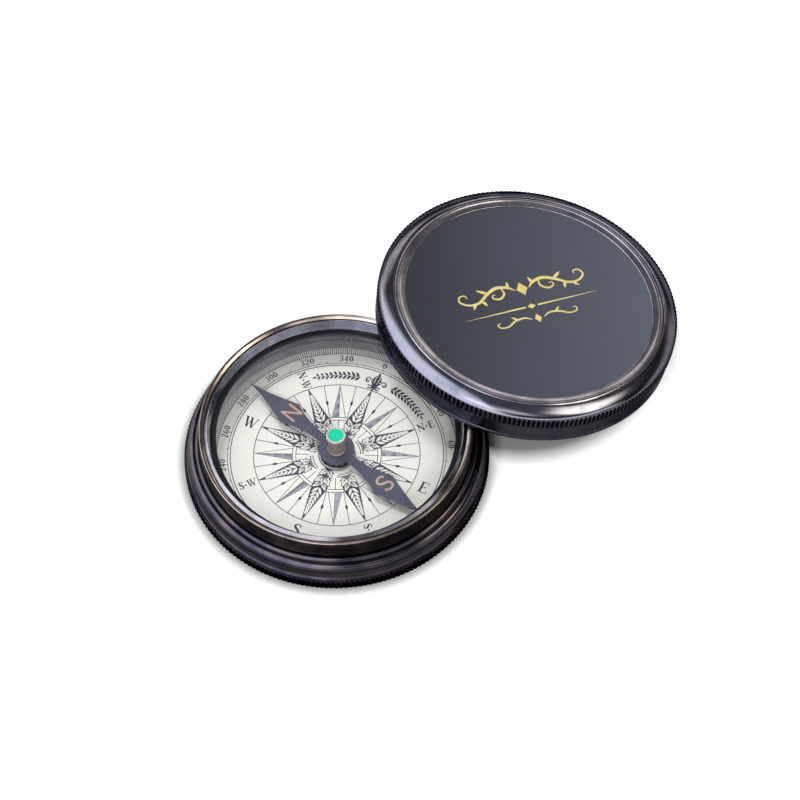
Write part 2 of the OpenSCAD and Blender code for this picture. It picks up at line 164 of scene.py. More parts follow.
def turn(name, corners, finishes, steps=plainSteps, closed=True, place=None, knurl=None, thread=None):
    # spins an outline round Z; rings with teeth get more points than the plain ones
    rings, verts, faces, faceFinish = [], [], [], []
    for r, z, finish, teeth, threadShare in roundedOutline(corners, closed):
        onAxis = r < 1e-6
        count = 1 if onAxis else knurl["count"] * len(toothShape) if teeth > 0 else steps
        rings.append((len(verts), count, finish))
        verts += [(0, 0, z)] if onAxis else ringPoints(r, z, count, teeth, threadShare, knurl, thread)
    pairs = list(zip(rings, rings[1:]))
    if closed:
        pairs.append((rings[-1], rings[0]))
    for (s0, n0, finish), (s1, n1, _) in pairs:
        added = ringFaces(s0, n0, s1, n1)
        # faces in a knurl's grooves take the groove finish, a painted shade
        inTeeth = knurl and n0 == n1 and n0 > steps
        faceFinish += [knurl["groove"] if inTeeth and i % len(toothShape) in groovePoints else finish
                       for i in range(len(added))]
        faces += added
    return buildObject(name, verts, faces, finishes, faceFinish, True, place)


def newFinish(name):
    finish = bpy.data.materials.new(name)
    finish.use_nodes = True
    tree = finish.node_tree
    tree.nodes.clear()
    shader = tree.nodes.new("ShaderNodeBsdfPrincipled")
    out = tree.nodes.new("ShaderNodeOutputMaterial")
    tree.links.new(shader.outputs[0], out.inputs[0])
    return finish, tree, shader


def showInstead(tree, shading):
    # puts another shader on the material's output
    out = next(node for node in tree.nodes if node.type == "OUTPUT_MATERIAL")
    tree.links.new(shading, out.inputs[0])


def addNode(tree, kind, inputs=None, **settings):
    # an input's value is a number, a colour or the socket that feeds it
    node = tree.nodes.new(kind)
    for key, value in settings.items():
        setattr(node, key, value)
    for key, value in (inputs or {}).items():
        if isinstance(value, bpy.types.NodeSocket):
            tree.links.new(value, node.inputs[key])
        else:
            node.inputs[key].default_value = value
    return node


def calculate(tree, kind, *values):
    return addNode(tree, "ShaderNodeMath", dict(enumerate(values)), operation=kind).outputs[0]


def calculateVector(tree, kind, inputs):
    # a length, a distance or a dot product comes out as a number, all else as a vector
    node = addNode(tree, "ShaderNodeVectorMath", inputs, operation=kind)
    return node.outputs["Value" if kind in ("LENGTH", "DISTANCE", "DOT_PRODUCT") else "Vector"]


def remap(tree, value, fromRange, toRange, curve="LINEAR"):
    return addNode(tree, "ShaderNodeMapRange",
                   {"Value": value, "From Min": fromRange[0], "From Max": fromRange[1],
                    "To Min": toRange[0], "To Max": toRange[1]}, interpolation_type=curve).outputs[0]


def onPiece(tree):
    return addNode(tree, "ShaderNodeTexCoord").outputs["Object"]


def noise(tree, where, scale, detail, roughness=0.5):
    return addNode(tree, "ShaderNodeTexNoise",
                   {"Vector": where, "Scale": scale, "Detail": detail, "Roughness": roughness}).outputs[0]


def colourRamp(tree, share, colours, low=0.0, high=1.0):
    # spreads the colours evenly from low to high
    ramp = addNode(tree, "ShaderNodeValToRGB", {0: share})
    stops = ramp.color_ramp.elements
    stops[0].position, stops[1].position = low, high
    stops[0].color, stops[1].color = (*colours[0], 1), (*colours[-1], 1)
    for i, colour in enumerate(colours[1:-1], 1):
        stops.new(low + (high - low) * i / (len(colours) - 1)).color = (*colour, 1)
    return ramp.outputs[0]


def roughen(tree, shader, height, roughness, strength, distance):
    # the same fine noise sets the gloss and the surface
    tree.links.new(remap(tree, height, (0.3, 0.7), roughness), shader.inputs["Roughness"])
    bump = addNode(tree, "ShaderNodeBump", {"Height": height, "Strength": strength, "Distance": distance})
    tree.links.new(bump.outputs[0], shader.inputs["Normal"])


latheMarks = dict(roundness=1.3, fineness=2400.0, zShare=0.83, patchSize=0.006, streak=0.35, depth=0.00003)


def turnedSpace(tree, s):
    # coordinates that run slowly round the axis and fast across it, as lathe marks do
    xyz = addNode(tree, "ShaderNodeSeparateXYZ", {0: onPiece(tree)})
    flat = addNode(tree, "ShaderNodeCombineXYZ", {"X": xyz.outputs["X"], "Y": xyz.outputs["Y"]}).outputs[0]
    way = addNode(tree, "ShaderNodeSeparateXYZ", {0: calculateVector(tree, "NORMALIZE", {0: flat})})
    radius = calculateVector(tree, "LENGTH", {0: flat})
    across = calculate(tree, "MULTIPLY_ADD", xyz.outputs["Z"], s["zShare"], radius)
    return addNode(tree, "ShaderNodeCombineXYZ",
                   {"X": calculate(tree, "MULTIPLY", way.outputs["X"], s["roundness"]),
                    "Y": calculate(tree, "MULTIPLY", way.outputs["Y"], s["roundness"]),
                    "Z": calculate(tree, "MULTIPLY", across, s["fineness"])}).outputs[0]


def turnedMetal(name, colours, roughness, marks=0.25, edgeTint=None, metallic=1.0):
    # metal from the lathe: colour in patches, fine rings in the gloss and the surface
    s = latheMarks
    finish, tree, shader = newFinish(name)
    patch = noise(tree, onPiece(tree), 1 / s["patchSize"], 4.0, 0.55)
    rings = noise(tree, turnedSpace(tree, s), 1.0, 3.0, 0.6)
    blend = calculate(tree, "MULTIPLY_ADD", rings, s["streak"], patch)
    shift = 0.5 * s["streak"]
    tree.links.new(colourRamp(tree, blend, colours, 0.33 + shift, 0.67 + shift), shader.inputs["Base Color"])
    shader.inputs["Metallic"].default_value = metallic
    if edgeTint:
        shader.inputs["Specular Tint"].default_value = (*edgeTint, 1)
    roughen(tree, shader, rings, roughness, marks, s["depth"])
    return finish


coatGrain = dict(size=0.0004, patches=14, depth=0.00002)


def paint(name, colours, roughness, bumpStrength=0.1, metallic=0.0, specular=0.5):
    # a plain coat with a fine grain in its colour, gloss and surface
    s = coatGrain
    finish, tree, shader = newFinish(name)
    where = onPiece(tree)
    patch = noise(tree, where, 1 / (s["size"] * s["patches"]), 5.0, 0.6)
    tree.links.new(colourRamp(tree, patch, colours, 0.3, 0.7), shader.inputs["Base Color"])
    shader.inputs["Metallic"].default_value = metallic
    shader.inputs["Specular IOR Level"].default_value = specular
    roughen(tree, shader, noise(tree, where, 1 / s["size"], 2.0), roughness, bumpStrength, s["depth"])
    return finish


def settle(piece, body, slot, *nodes):
    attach(piece, body)
    if nodes:
        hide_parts(*nodes)
    return piece


# finishes: two or three colours from dark to pale, then the range of roughness
blackBrass = turnedMetal("blackBrass", [(0.006, 0.005, 0.008), (0.016, 0.014, 0.019), (0.034, 0.026, 0.028)],
                         (0.10, 0.24), edgeTint=(0.45, 0.42, 0.46))
threadBrass = turnedMetal("threadBrass",
                          [(0.004, 0.003, 0.004), (0.009, 0.007, 0.007), (0.020, 0.014, 0.013)], (0.12, 0.26))
# painted shade: the knurl grooves' faces get this darker finish to stand for the shade in them
grooveShade = turnedMetal("grooveShade", [(0.003, 0.003, 0.004), (0.008, 0.007, 0.008)], (0.4, 0.6),
                          edgeTint=(0.3, 0.3, 0.3))
beadBrass = turnedMetal("beadBrass", [(0.032, 0.032, 0.046), (0.062, 0.057, 0.073), (0.096, 0.072, 0.077)],
                        (0.10, 0.24))
coveBrass = turnedMetal("coveBrass", [(0.024, 0.022, 0.030), (0.044, 0.038, 0.048), (0.060, 0.046, 0.054)],
                        (0.10, 0.24))
lidBrass = turnedMetal("lidBrass", [(0.030, 0.031, 0.040), (0.050, 0.052, 0.066), (0.060, 0.055, 0.062)],
                       (0.10, 0.24), edgeTint=(0.4, 0.4, 0.42))
shoulderBrass = turnedMetal("shoulderBrass",
                            [(0.130, 0.134, 0.165), (0.190, 0.190, 0.225), (0.200, 0.182, 0.200)],
                            (0.08, 0.18), edgeTint=(0.0, 0.0, 0.0))
tanBrass = turnedMetal("tanBrass", [(0.20, 0.168, 0.145), (0.42, 0.36, 0.31)], (0.14, 0.28))
brownBrass = turnedMetal("brownBrass", [(0.030, 0.020, 0.016), (0.080, 0.054, 0.042)], (0.2, 0.4))
brightBezel = turnedMetal("brightBezel", [(0.170, 0.160, 0.165), (0.300, 0.285, 0.310)], (0.10, 0.22))
bezelWall = turnedMetal("bezelWall", [(0.14, 0.14, 0.175), (0.25, 0.25, 0.30)], (0.10, 0.22))
linerSteel = turnedMetal("linerSteel", [(0.21, 0.215, 0.265), (0.28, 0.285, 0.34)], (0.03, 0.08), marks=0.03)
seatBlack = turnedMetal("seatBlack", [(0.05, 0.05, 0.065), (0.09, 0.09, 0.11)], (0.25, 0.4))
plainBrass = turnedMetal("plainBrass", [(0.34, 0.25, 0.12), (0.50, 0.38, 0.20)], (0.3, 0.45))
pivotSteel = turnedMetal("pivotSteel", [(0.24, 0.24, 0.26), (0.42, 0.42, 0.45)], (0.2, 0.35))
brightWasher = turnedMetal("brightWasher", [(0.62, 0.63, 0.66), (0.80, 0.80, 0.82)], (0.1, 0.2))
lidRingBrass = turnedMetal("lidRingBrass", [(0.20, 0.185, 0.21), (0.40, 0.37, 0.40)], (0.12, 0.24),
                           marks=0.10, metallic=0.9)
capBrass = turnedMetal("capBrass", [(0.30, 0.215, 0.175), (0.60, 0.48, 0.40)], (0.28, 0.42),
                       marks=0.5, metallic=0.45)
capRim = turnedMetal("capRim", [(0.74, 0.62, 0.54), (0.90, 0.82, 0.74)], (0.2, 0.3), metallic=0.3)
gasketBlack = paint("gasketBlack", [(0.008, 0.008, 0.010), (0.018, 0.018, 0.020)], (0.5, 0.7))
jewelRed = paint("jewelRed", [(0.16, 0.01, 0.015), (0.24, 0.02, 0.025)], (0.05, 0.12), bumpStrength=0.02)
enamelGreen = paint("enamelGreen", [(0.0, 0.62, 0.33), (0.0, 0.70, 0.42)], (0.12, 0.25),
                    bumpStrength=0.04, specular=0.2)
cardWhite = paint("cardWhite", [(0.91, 0.905, 0.835), (0.95, 0.945, 0.885)], (0.45, 0.6),
                  bumpStrength=0.08, specular=0.3)
inkBlue = paint("inkBlue", [(0.028, 0.030, 0.052), (0.050, 0.053, 0.085)], (0.4, 0.6), specular=0.3)
inkPale = paint("inkPale", [(0.36, 0.37, 0.43), (0.45, 0.46, 0.52)], (0.4, 0.6), specular=0.3)
inkRose = paint("inkRose", [(0.050, 0.053, 0.082), (0.080, 0.084, 0.120)], (0.4, 0.6), specular=0.3)
needleBlue = paint("needleBlue", [(0.068, 0.072, 0.110), (0.092, 0.097, 0.142)], (0.35, 0.5), specular=0.4)
needleTan = paint("needleTan", [(0.50, 0.31, 0.21), (0.62, 0.41, 0.29)], (0.4, 0.55))
gilding = paint("gilding", [(0.70, 0.55, 0.15), (0.86, 0.74, 0.30)], (0.3, 0.45), metallic=0.2)

# the plate's painted light: its colours run from dark to light along a fixed way across it
satinTones = dict(colours=[(0.024, 0.025, 0.036), (0.100, 0.107, 0.144)], paintedLightWay=(0.81, -0.587, 0),
                  paintedLightReach=0.034, cloudScale=60.0, cloudShare=0.12, grainScale=5200.0, metallic=0.25,
                  specular=0.3, roughness=(0.38, 0.5), bumpStrength=0.12, bumpDepth=0.00001)


def plateFinish(s):
    # satin plate with painted light: the tone goes from darker on one side to lighter on the other
    finish, tree, shader = newFinish("plateSlate")
    where = onPiece(tree)
    side = calculateVector(tree, "DOT_PRODUCT", {0: where, 1: s["paintedLightWay"]})
    # painted light, darker on one side of the plate and lighter on the other
    paintedLight = remap(tree, side, (-s["paintedLightReach"], s["paintedLightReach"]), (0.0, 1.0))
    tone = calculate(tree, "MULTIPLY_ADD", noise(tree, where, s["cloudScale"], 3.0), s["cloudShare"], paintedLight)
    tree.links.new(colourRamp(tree, tone, s["colours"]), shader.inputs["Base Color"])
    shader.inputs["Metallic"].default_value = s["metallic"]
    shader.inputs["Specular IOR Level"].default_value = s["specular"]
    grain = noise(tree, where, s["grainScale"], 2.0)
    roughen(tree, shader, grain, s["roughness"], s["bumpStrength"], s["bumpDepth"])
    return finish


glassTones = dict(ior=1.5, hazeScale=160.0, haze=(0.0, 0.012), clear=(0.995, 0.995, 0.995, 1))


def glassFinish(s):
    # clear glass with a faint haze; shadow and dull light go straight through
    finish, tree, shader = newFinish("clearGlass")
    shader.inputs["Base Color"].default_value = (1.0, 1.0, 1.0, 1)
    shader.inputs["Transmission Weight"].default_value = 1.0
    shader.inputs["IOR"].default_value = s["ior"]
    haze = remap(tree, noise(tree, onPiece(tree), s["hazeScale"], 2.0), (0.3, 0.7), s["haze"])
    tree.links.new(haze, shader.inputs["Roughness"])
    clear = addNode(tree, "ShaderNodeBsdfTransparent", {"Color": s["clear"]})
    path = addNode(tree, "ShaderNodeLightPath")
    straight = calculate(tree, "MAXIMUM", path.outputs["Is Shadow Ray"], path.outputs["Is Diffuse Ray"])
    mix = addNode(tree, "ShaderNodeMixShader", {0: straight, 1: shader.outputs[0], 2: clear.outputs[0]})
    showInstead(tree, mix.outputs[0])
    return finish


plateSlate = plateFinish(satinTones)
clearGlass = glassFinish(glassTones)
print("finishes ready")


caseSizes = dict(
    knurlCount=196, knurlDepth=0.35, crestR=37.5, rootR=37.15, footR=36.9, footRound=0.15,
    bandFoot=0.2, bandTop=2.9, neckR=34.0, neckTop=8.5,
    rebateR=33.55, rebateFoot=6.9, boreR=32.2, floor=0.8,
)


def shoulder(points, r, w, z, h):
    # a moulding drawn on a square of 1, set to its width inward from r and its height above z
    return [(r - x * w, z + y * h) for x, y in points]


def toothedBand(z0, z1, crest, finish):
    # the knurl's rings: the grooves end round, a little short of the band's edges
    rings = [(0.0, 0.12, 0.30), (0.05, 0.03, 0.55), (0.16, 0.0, 0.85), (0.34, 0.0, 1.0)]
    up = [corner(crest - dr, z0 + dz, finish=finish, teeth=share) for dz, dr, share in rings]
    down = [corner(crest - dr, z1 - dz, finish=finish, teeth=share) for dz, dr, share in reversed(rings)]
    return up + down


threadStep = 0.075  # height between the close rings that draw a thread


def threadRings(r, start, stop, low, high, finish):
    # rings for one climbing ridge; low and high say where it ends and over what length it fades
    rings, z = [], start
    step = threadStep if stop > start else -threadStep
    while (stop - z) * step > 0:
        fade = min((z - low[0]) / low[1], (high[0] - z) / high[1])
        rings.append(corner(r, z, thread=max(0.0, min(1.0, fade)) + 0.001, finish=finish))
        z += step
    return rings


def makeCase(s):
    body, rim, groove, teeth, hollow = range(5)
    span = (s["rootR"], s["rootR"] - s["neckR"], s["bandTop"], s["neckTop"] - s["bandTop"])
    cove = shoulder(bend((0.07, 0.07), (0.36, 0.16), (0.28, 0.55), 14), *span)
    lowBead = shoulder(bend((0.28, 0.55), (0.33, 0.77), (0.68, 0.79), 14)[1:], *span)
    dip = shoulder([(0.73, 0.75), (0.77, 0.78)], *span)
    highBead = shoulder(bend((0.78, 0.83), (0.80, 0.97), (1, 1), 10), *span)
    line = [corner(0, 0, finish=body), corner(s["footR"], 0, s["footRound"])]
    line += toothedBand(s["bandFoot"], s["bandTop"], s["crestR"], body)
    line += [corner(s["rootR"] - 0.1, s["bandTop"] + 0.04, 0.03, finish=body)]
    line += along(cove, hollow) + along(lowBead, rim) + along(dip, groove, 0.04) + along(highBead, rim)
    line += [corner(s["rebateR"], s["neckTop"], 0.08, finish=body),
             corner(s["rebateR"], s["rebateFoot"]), corner(s["boreR"], s["rebateFoot"]),
             corner(s["boreR"], s["floor"]), corner(0, s["floor"])]
    # the knurl's groove faces take the darkest finish, a painted shade
    return turn("caseCup", line, [blackBrass, beadBrass, brownBrass, grooveShade, coveBrass], closed=False,
                knurl=dict(count=s["knurlCount"], depth=s["knurlDepth"], groove=teeth))


settle(makeCase(caseSizes), "case", "blackened_brass", "case_cup")

collarSizes = dict(outerR=33.5, innerR=32.2, foot=6.9, top=14.05, fall=0.5, neckIn=0.2, neckTop=8.45,
                   threadStart=8.6, threadFoot=8.9, threadTop=13.6, threadIn=0.02, fadeTop=13.48,
                   threadPitch=0.75, threadDepth=0.22, rimEdge=0.32, faceIn=0.22)


def makeCollar(s):
    body, face, edge, ridges = range(4)
    threadR = s["outerR"] - s["threadIn"]
    line = along([(s["outerR"] - s["neckIn"], s["foot"]), (s["outerR"] - s["neckIn"], s["neckTop"])], body)
    line += threadRings(threadR, s["threadStart"], s["threadTop"], (s["threadFoot"], 0.4),
                        (s["fadeTop"], 0.3), ridges)
    line += [corner(threadR, s["top"] - s["rimEdge"], 0.04, finish=edge),
             corner(s["outerR"] - s["faceIn"], s["top"], s["faceIn"], finish=face, edge=face),
             corner(s["outerR"] - 0.62, s["top"] - 0.13, 0.05, finish=edge),
             corner(s["outerR"] - 0.72, s["top"] - 0.2, 0.04, finish=face),
             corner(s["innerR"], s["top"] - s["fall"], 0.06, finish=body, edge=edge),
             corner(s["innerR"], s["foot"])]
    return turn("threadedCollar", line, [blackBrass, tanBrass, brownBrass, threadBrass],
                thread=dict(pitch=s["threadPitch"], depth=s["threadDepth"]))


settle(makeCollar(collarSizes), "case", "blackened_brass", "threaded_collar")

bezelSizes = dict(outerR=32.15, sightR=30.4, crestR=31.35, foot=11.65, edgeZ=13.5, top=14.25)


def makeBezel(s):
    face, wall = range(2)
    line = [corner(s["sightR"], s["foot"], 0.03, finish=face),
            corner(s["outerR"], s["foot"]), corner(s["outerR"], s["edgeZ"], 0.06),
            corner(s["crestR"], s["top"], 0.09, finish=wall, edge=face)]
    return turn("bezelRing", line, [brightBezel, bezelWall])


settle(makeBezel(bezelSizes), "case", "bright_bezel", "bezel_ring")

gasketSizes = dict(innerR=29.3, outerR=31.9, foot=10.25, top=10.65)
seatSizes = dict(outerR=32.15, ledgeR=29.4, innerR=31.3, foot=6.5, top=10.25, ledge=0.6)
linerSizes = dict(outerR=32.15, innerR=31.3, foot=1.3, top=6.5)
crystalSizes = dict(r=31.9, foot=10.65, top=11.65, bevel=0.15)


def makeGasket(s):
    line = [corner(s["innerR"], s["foot"], 0.15), corner(s["outerR"], s["foot"], 0.1),
            corner(s["outerR"], s["top"], 0.1), corner(s["innerR"], s["top"], 0.15)]
    return turn("glassGasket", line, [gasketBlack])


def makeSeat(s):
    ledgeFoot = s["top"] - s["ledge"]
    line = [corner(s["innerR"], s["foot"], 0.05), corner(s["outerR"], s["foot"]),
            corner(s["outerR"], s["top"]), corner(s["ledgeR"], s["top"], 0.08),
            corner(s["ledgeR"], ledgeFoot, 0.12), corner(s["innerR"], ledgeFoot, 0.2)]
    return turn("glassSeat", line, [seatBlack])


def makeLiner(s):
    line = [corner(s["innerR"], s["foot"]), corner(s["outerR"], s["foot"]),
            corner(s["outerR"], s["top"]), corner(s["innerR"], s["top"], 0.05)]
    return turn("dialHoldRing", line, [linerSteel])


def makeCrystal(s):
    bevel = s["bevel"]
    line = [corner(0, s["foot"]), corner(s["r"] - bevel, s["foot"], 0.03),
            corner(s["r"], s["foot"] + bevel, 0.03), corner(s["r"], s["top"] - bevel, 0.03),
            corner(s["r"] - bevel, s["top"], 0.03), corner(0, s["top"])]
    return turn("crystal", line, [clearGlass], closed=False)


settle(makeGasket(gasketSizes), "case", "gasket", "glass_gasket")
settle(makeSeat(seatSizes), "case", "satin_ring", "glass_seat_ring")
settle(makeLiner(linerSizes), "case", "satin_ring", "dial_hold_ring")
settle(makeCrystal(crystalSizes), "case", "crystal", "crystal")
print("case, collar, bezel and glass done")


inkSizes = dict(step=0.0004, levels=7, sunk=0.01)


class InkSheet:
    # gathers flat strokes and shapes as thin closed slabs that lie on one face
    def __init__(self, face, lift, turnBy=0.0):
        self.face, self.lift, self.turnBy = face, lift, math.radians(turnBy)
        self.verts, self.faces, self.shades = [], [], []
        self.count = 0

    def nextTop(self):
        # neighbours differ a hair in height, so that crossing strokes don't share a face
        self.count += 1
        return self.face + self.lift + self.count % inkSizes["levels"] * inkSizes["step"]

    def addPoints(self, points, z):
        c, s = math.cos(self.turnBy), math.sin(self.turnBy)
        self.verts += [(x * c - y * s, x * s + y * c, z) for x, y in points]

    def addFaces(self, faces, shade):
        self.faces += faces
        self.shades += [shade] * len(faces)

    def slab(self, outline, shade=0):
        area = sum(a[0] * b[1] - b[0] * a[1] for a, b in zip(outline, outline[1:] + outline[:1]))
        if area < 0:
            outline = outline[::-1]
        start, n = len(self.verts), len(outline)
        self.addPoints(outline, self.face - inkSizes["sunk"])
        self.addPoints(outline, self.nextTop())
        faces = [tuple(range(start + n - 1, start - 1, -1)), tuple(range(start + n, start + 2 * n))]
        for i in range(n):
            j = (i + 1) % n
            faces.append((start + i, start + j, start + n + j, start + n + i))
        self.addFaces(faces, shade)

    def stroke(self, points, shade=0, closed=False):
        # points are (x, y, width)
        n = len(points)
        left, right = [], []
        for i, (x, y, w) in enumerate(points):
            a = points[i - 1] if closed or i > 0 else points[i]
            b = points[(i + 1) % n] if closed or i < n - 1 else points[i]
            dx, dy = b[0] - a[0], b[1] - a[1]
            length = math.hypot(dx, dy) or 1.0
            nx, ny = -dy / length * w / 2, dx / length * w / 2
            left.append((x + nx, y + ny))
            right.append((x - nx, y - ny))
        start, foot, top = len(self.verts), self.face - inkSizes["sunk"], self.nextTop()
        for row, z in ((left, foot), (right, foot), (right, top), (left, top)):
            self.addPoints(row, z)
        faces = []
        for i in range(n if closed else n - 1):
            j = (i + 1) % n
            for k in range(4):
                a, b = start + k * n, start + (k + 1) % 4 * n
                faces.append((a + j, a + i, b + i, b + j))
        if not closed:
            faces.append(tuple(start + k * n for k in range(4)))
            faces.append(tuple(start + k * n + n - 1 for k in (3, 2, 1, 0)))
        self.addFaces(faces, shade)

    def ring(self, r, width, steps=240):
        turns = [2 * math.pi * i / steps for i in range(steps)]
        self.stroke([(r * math.sin(a), r * math.cos(a), width) for a in turns], closed=True)

    def arc(self, r, a0, a1, width, steps=12):
        turns = [math.radians(a0 + (a1 - a0) * i / steps) for i in range(steps + 1)]
        self.stroke([(r * math.sin(a), r * math.cos(a), width) for a in turns])

    def line(self, a, b, width, endWidth=None):
        self.stroke([(*a, width), (*b, width if endWidth is None else endWidth)])

    def curve(self, points, flip=1, per=5):
        # a smooth stroke, mirrored when flip is -1
        self.stroke([(flip * x, y, w) for x, y, w in smoothLine(points, per)])

    def dot(self, centre, r, width):
        self.stroke(loop(*centre, r, r, width, width, 8))

    def piece(self, name, finishes, place=None):
        return buildObject(name, self.verts, self.faces, finishes, self.shades, False, place)


def onDial(r, angle, x=0.0, y=0.0):
    # a point r out at a clockwise angle from north, moved x clockwise and y outward
    a = math.radians(angle)
    return ((r + y) * math.sin(a) + x * math.cos(a), (r + y) * math.cos(a) - x * math.sin(a))


def smoothLine(points, per=5):
    # a curve through the points, with the widths carried along
    out = []
    for i in range(len(points) - 1):
        p0 = points[max(i - 1, 0)]
        p1, p2 = points[i], points[i + 1]
        p3 = points[min(i + 2, len(points) - 1)]
        for k in range(per):
            t = k / per
            out.append(tuple(0.5 * (2 * b + (c - a) * t + (2 * a - 5 * b + 4 * c - d) * t * t
                                    + (3 * b - a - 3 * c + d) * t ** 3)
                             for a, b, c, d in zip(p0, p1, p2, p3)))
    out.append(points[-1])
    return out


def loop(cx, cy, rx, ry, thin, thick, steps=28):
    # an oval stroke, thick at its two sides
    pts = []
    for i in range(steps + 1):
        a = 2 * math.pi * i / steps
        width = thin + (thick - thin) * abs(math.cos(a)) ** 1.5
        pts.append((cx + rx * math.cos(a), cy + ry * math.sin(a), width))
    return pts


def leafOutline(base, tip, width):
    # a leaf, pointed at both ends and broadest a little past its middle
    dx, dy = tip[0] - base[0], tip[1] - base[1]
    length = math.hypot(dx, dy)
    ux, uy = dx / length, dy / length
    steps = 9
    side = [(i / steps, math.sin(math.pi * (i / steps) ** 0.8) * width / 2) for i in range(steps + 1)]
    right = [(base[0] + ux * t * length - uy * w, base[1] + uy * t * length + ux * w) for t, w in side]
    left = [(base[0] + ux * t * length + uy * w, base[1] + uy * t * length - ux * w) for t, w in side]
    return right + left[-2:0:-1]


def straight(*points):
    return False, points


def curved(*points):
    return True, points


def serif(x0, x1, y):
    return straight((x0, y, 0.06), (x1, y, 0.06))


# each sign: its width and its strokes, on a height of 1
signs = {
    "0": (0.60, [straight(*loop(0.30, 0.5, 0.20, 0.455, 0.07, 0.19))]),
    "1": (0.50, [straight((0.26, 0.03, 0.18), (0.26, 0.97, 0.18)),
                 straight((0.06, 0.80, 0.06), (0.26, 0.96, 0.08)), serif(0.06, 0.46, 0.03)]),
    "2": (0.60, [curved((0.09, 0.72, 0.14), (0.13, 0.89, 0.09), (0.29, 0.96, 0.07), (0.46, 0.86, 0.14),
                        (0.46, 0.68, 0.18), (0.35, 0.45, 0.13), (0.18, 0.24, 0.08), (0.09, 0.08, 0.07)),
                 straight((0.07, 0.08, 0.16), (0.44, 0.08, 0.16), (0.54, 0.18, 0.05))]),
    "3": (0.58, [curved((0.10, 0.80, 0.12), (0.17, 0.93, 0.07), (0.29, 0.96, 0.07), (0.43, 0.84, 0.15),
                        (0.41, 0.66, 0.13), (0.26, 0.54, 0.06)),
                 curved((0.26, 0.54, 0.06), (0.44, 0.44, 0.15), (0.47, 0.25, 0.18), (0.38, 0.08, 0.12),
                        (0.22, 0.03, 0.07), (0.08, 0.13, 0.12))]),
    "4": (0.62, [straight((0.38, 0.95, 0.06), (0.06, 0.32, 0.06)),
                 straight((0.04, 0.30, 0.09), (0.58, 0.30, 0.09)),
                 straight((0.40, 0.0, 0.17), (0.40, 0.97, 0.17))]),
    "6": (0.60, [curved((0.47, 0.90, 0.08), (0.28, 0.85, 0.10), (0.14, 0.62, 0.16), (0.12, 0.34, 0.18),
                        (0.18, 0.10, 0.12), (0.31, 0.03, 0.07), (0.45, 0.13, 0.13), (0.48, 0.30, 0.18),
                        (0.42, 0.50, 0.10), (0.29, 0.57, 0.06), (0.16, 0.48, 0.06))]),
    "8": (0.60, [straight(*loop(0.30, 0.745, 0.155, 0.21, 0.06, 0.14)),
                 straight(*loop(0.30, 0.265, 0.19, 0.235, 0.06, 0.17))]),
    "N": (0.98, [straight((0.19, 0.02, 0.07), (0.19, 0.98, 0.07)),
                 straight((0.17, 0.97, 0.19), (0.80, 0.02, 0.19)),
                 straight((0.80, 0.02, 0.07), (0.80, 0.98, 0.07)),
                 serif(0.04, 0.34, 0.03), serif(0.02, 0.26, 0.97), serif(0.65, 0.95, 0.97)]),
    "E": (0.80, [straight((0.24, 0.02, 0.18), (0.24, 0.98, 0.18)),
                 serif(0.05, 0.70, 0.97), serif(0.05, 0.74, 0.03), serif(0.24, 0.55, 0.52),
                 straight((0.69, 0.98, 0.06), (0.69, 0.76, 0.04)),
                 straight((0.73, 0.02, 0.06), (0.75, 0.26, 0.04)),
                 straight((0.55, 0.41, 0.05), (0.55, 0.63, 0.05))]),
    "S": (0.66, [curved((0.54, 0.76, 0.06), (0.48, 0.91, 0.07), (0.32, 0.96, 0.08), (0.17, 0.88, 0.13),
                        (0.14, 0.73, 0.17), (0.24, 0.59, 0.20), (0.42, 0.46, 0.20), (0.52, 0.31, 0.18),
                        (0.49, 0.12, 0.13), (0.33, 0.04, 0.08), (0.16, 0.09, 0.07), (0.09, 0.24, 0.06)),
                 straight((0.56, 0.99, 0.05), (0.56, 0.72, 0.04)),
                 straight((0.075, 0.01, 0.05), (0.075, 0.28, 0.04))]),
    "W": (1.22, [straight((0.14, 0.98, 0.17), (0.40, 0.02, 0.15)),
                 straight((0.40, 0.02, 0.06), (0.62, 0.90, 0.06)),
                 straight((0.54, 0.98, 0.17), (0.82, 0.02, 0.15)),
                 straight((0.82, 0.02, 0.06), (1.08, 0.97, 0.06)),
                 serif(0.01, 0.30, 0.97), serif(0.42, 0.70, 0.97), serif(0.94, 1.21, 0.97)]),
    ".": (0.34, [straight(*loop(0.17, 0.42, 0.055, 0.055, 0.12, 0.12, 10))]),
}


def write(sheet, text, height, centre, angle, squeeze=1.0, gap=0.06):
    # letters stand on a straight line through centre; angle turns them clockwise
    width = sum(signs[ch][0] * squeeze for ch in text) + gap * (len(text) - 1)
    a = math.radians(angle)
    x = -width / 2
    for ch in text:
        wide, strokes = signs[ch]
        for isCurved, pts in strokes:
            out = []
            for px, py, w in smoothLine(pts) if isCurved else pts:
                u, v = (x + px * squeeze) * height, (py - 0.5) * height
                out.append((centre[0] + u * math.cos(a) + v * math.sin(a),
                            centre[1] - u * math.sin(a) + v * math.cos(a), w * height))
            sheet.stroke(out)
        x += wide * squeeze + gap


dialSizes = dict(
    north=29.5, face=1.3, inkLift=0.014, leafLift=0.024, veinLift=0.030, line=0.16,
    circles=(26.25, 26.89), tickRing=(29.64, 31.25), tickLine=0.19, tenthLine=0.22,
    numeralR=28.3, numeralH=1.75, letterR=23.4, letterH=3.05, sideLetterR=23.3, sideLetterH=2.1,
)
roseSizes = dict(
    r=20.48, hub=4.45, starR=10.95, starInnerR=10.1, arcReach=14.2, spokeInnerR=6.9, smallArcs=(6.5, 5.9),
    smallArcReach=19, lozengeR=15.3, lozengeHalf=0.36, slimTip=20.3, slimHalf=1.65, slimLong=9.3, hatches=22,
    hatchReach=8.6, hatchEnd=9.2, rayTip=20.45, rayFoot=9.8, raySlope=0.185, firstLeafR=18.3, lastLeafR=10.3,
)


def dialSheet(lift="inkLift"):
    # ink on the card, turned so that its north lies where the dial's north does
    return InkSheet(dialSizes["face"], dialSizes[lift], dialSizes["north"] - 90)


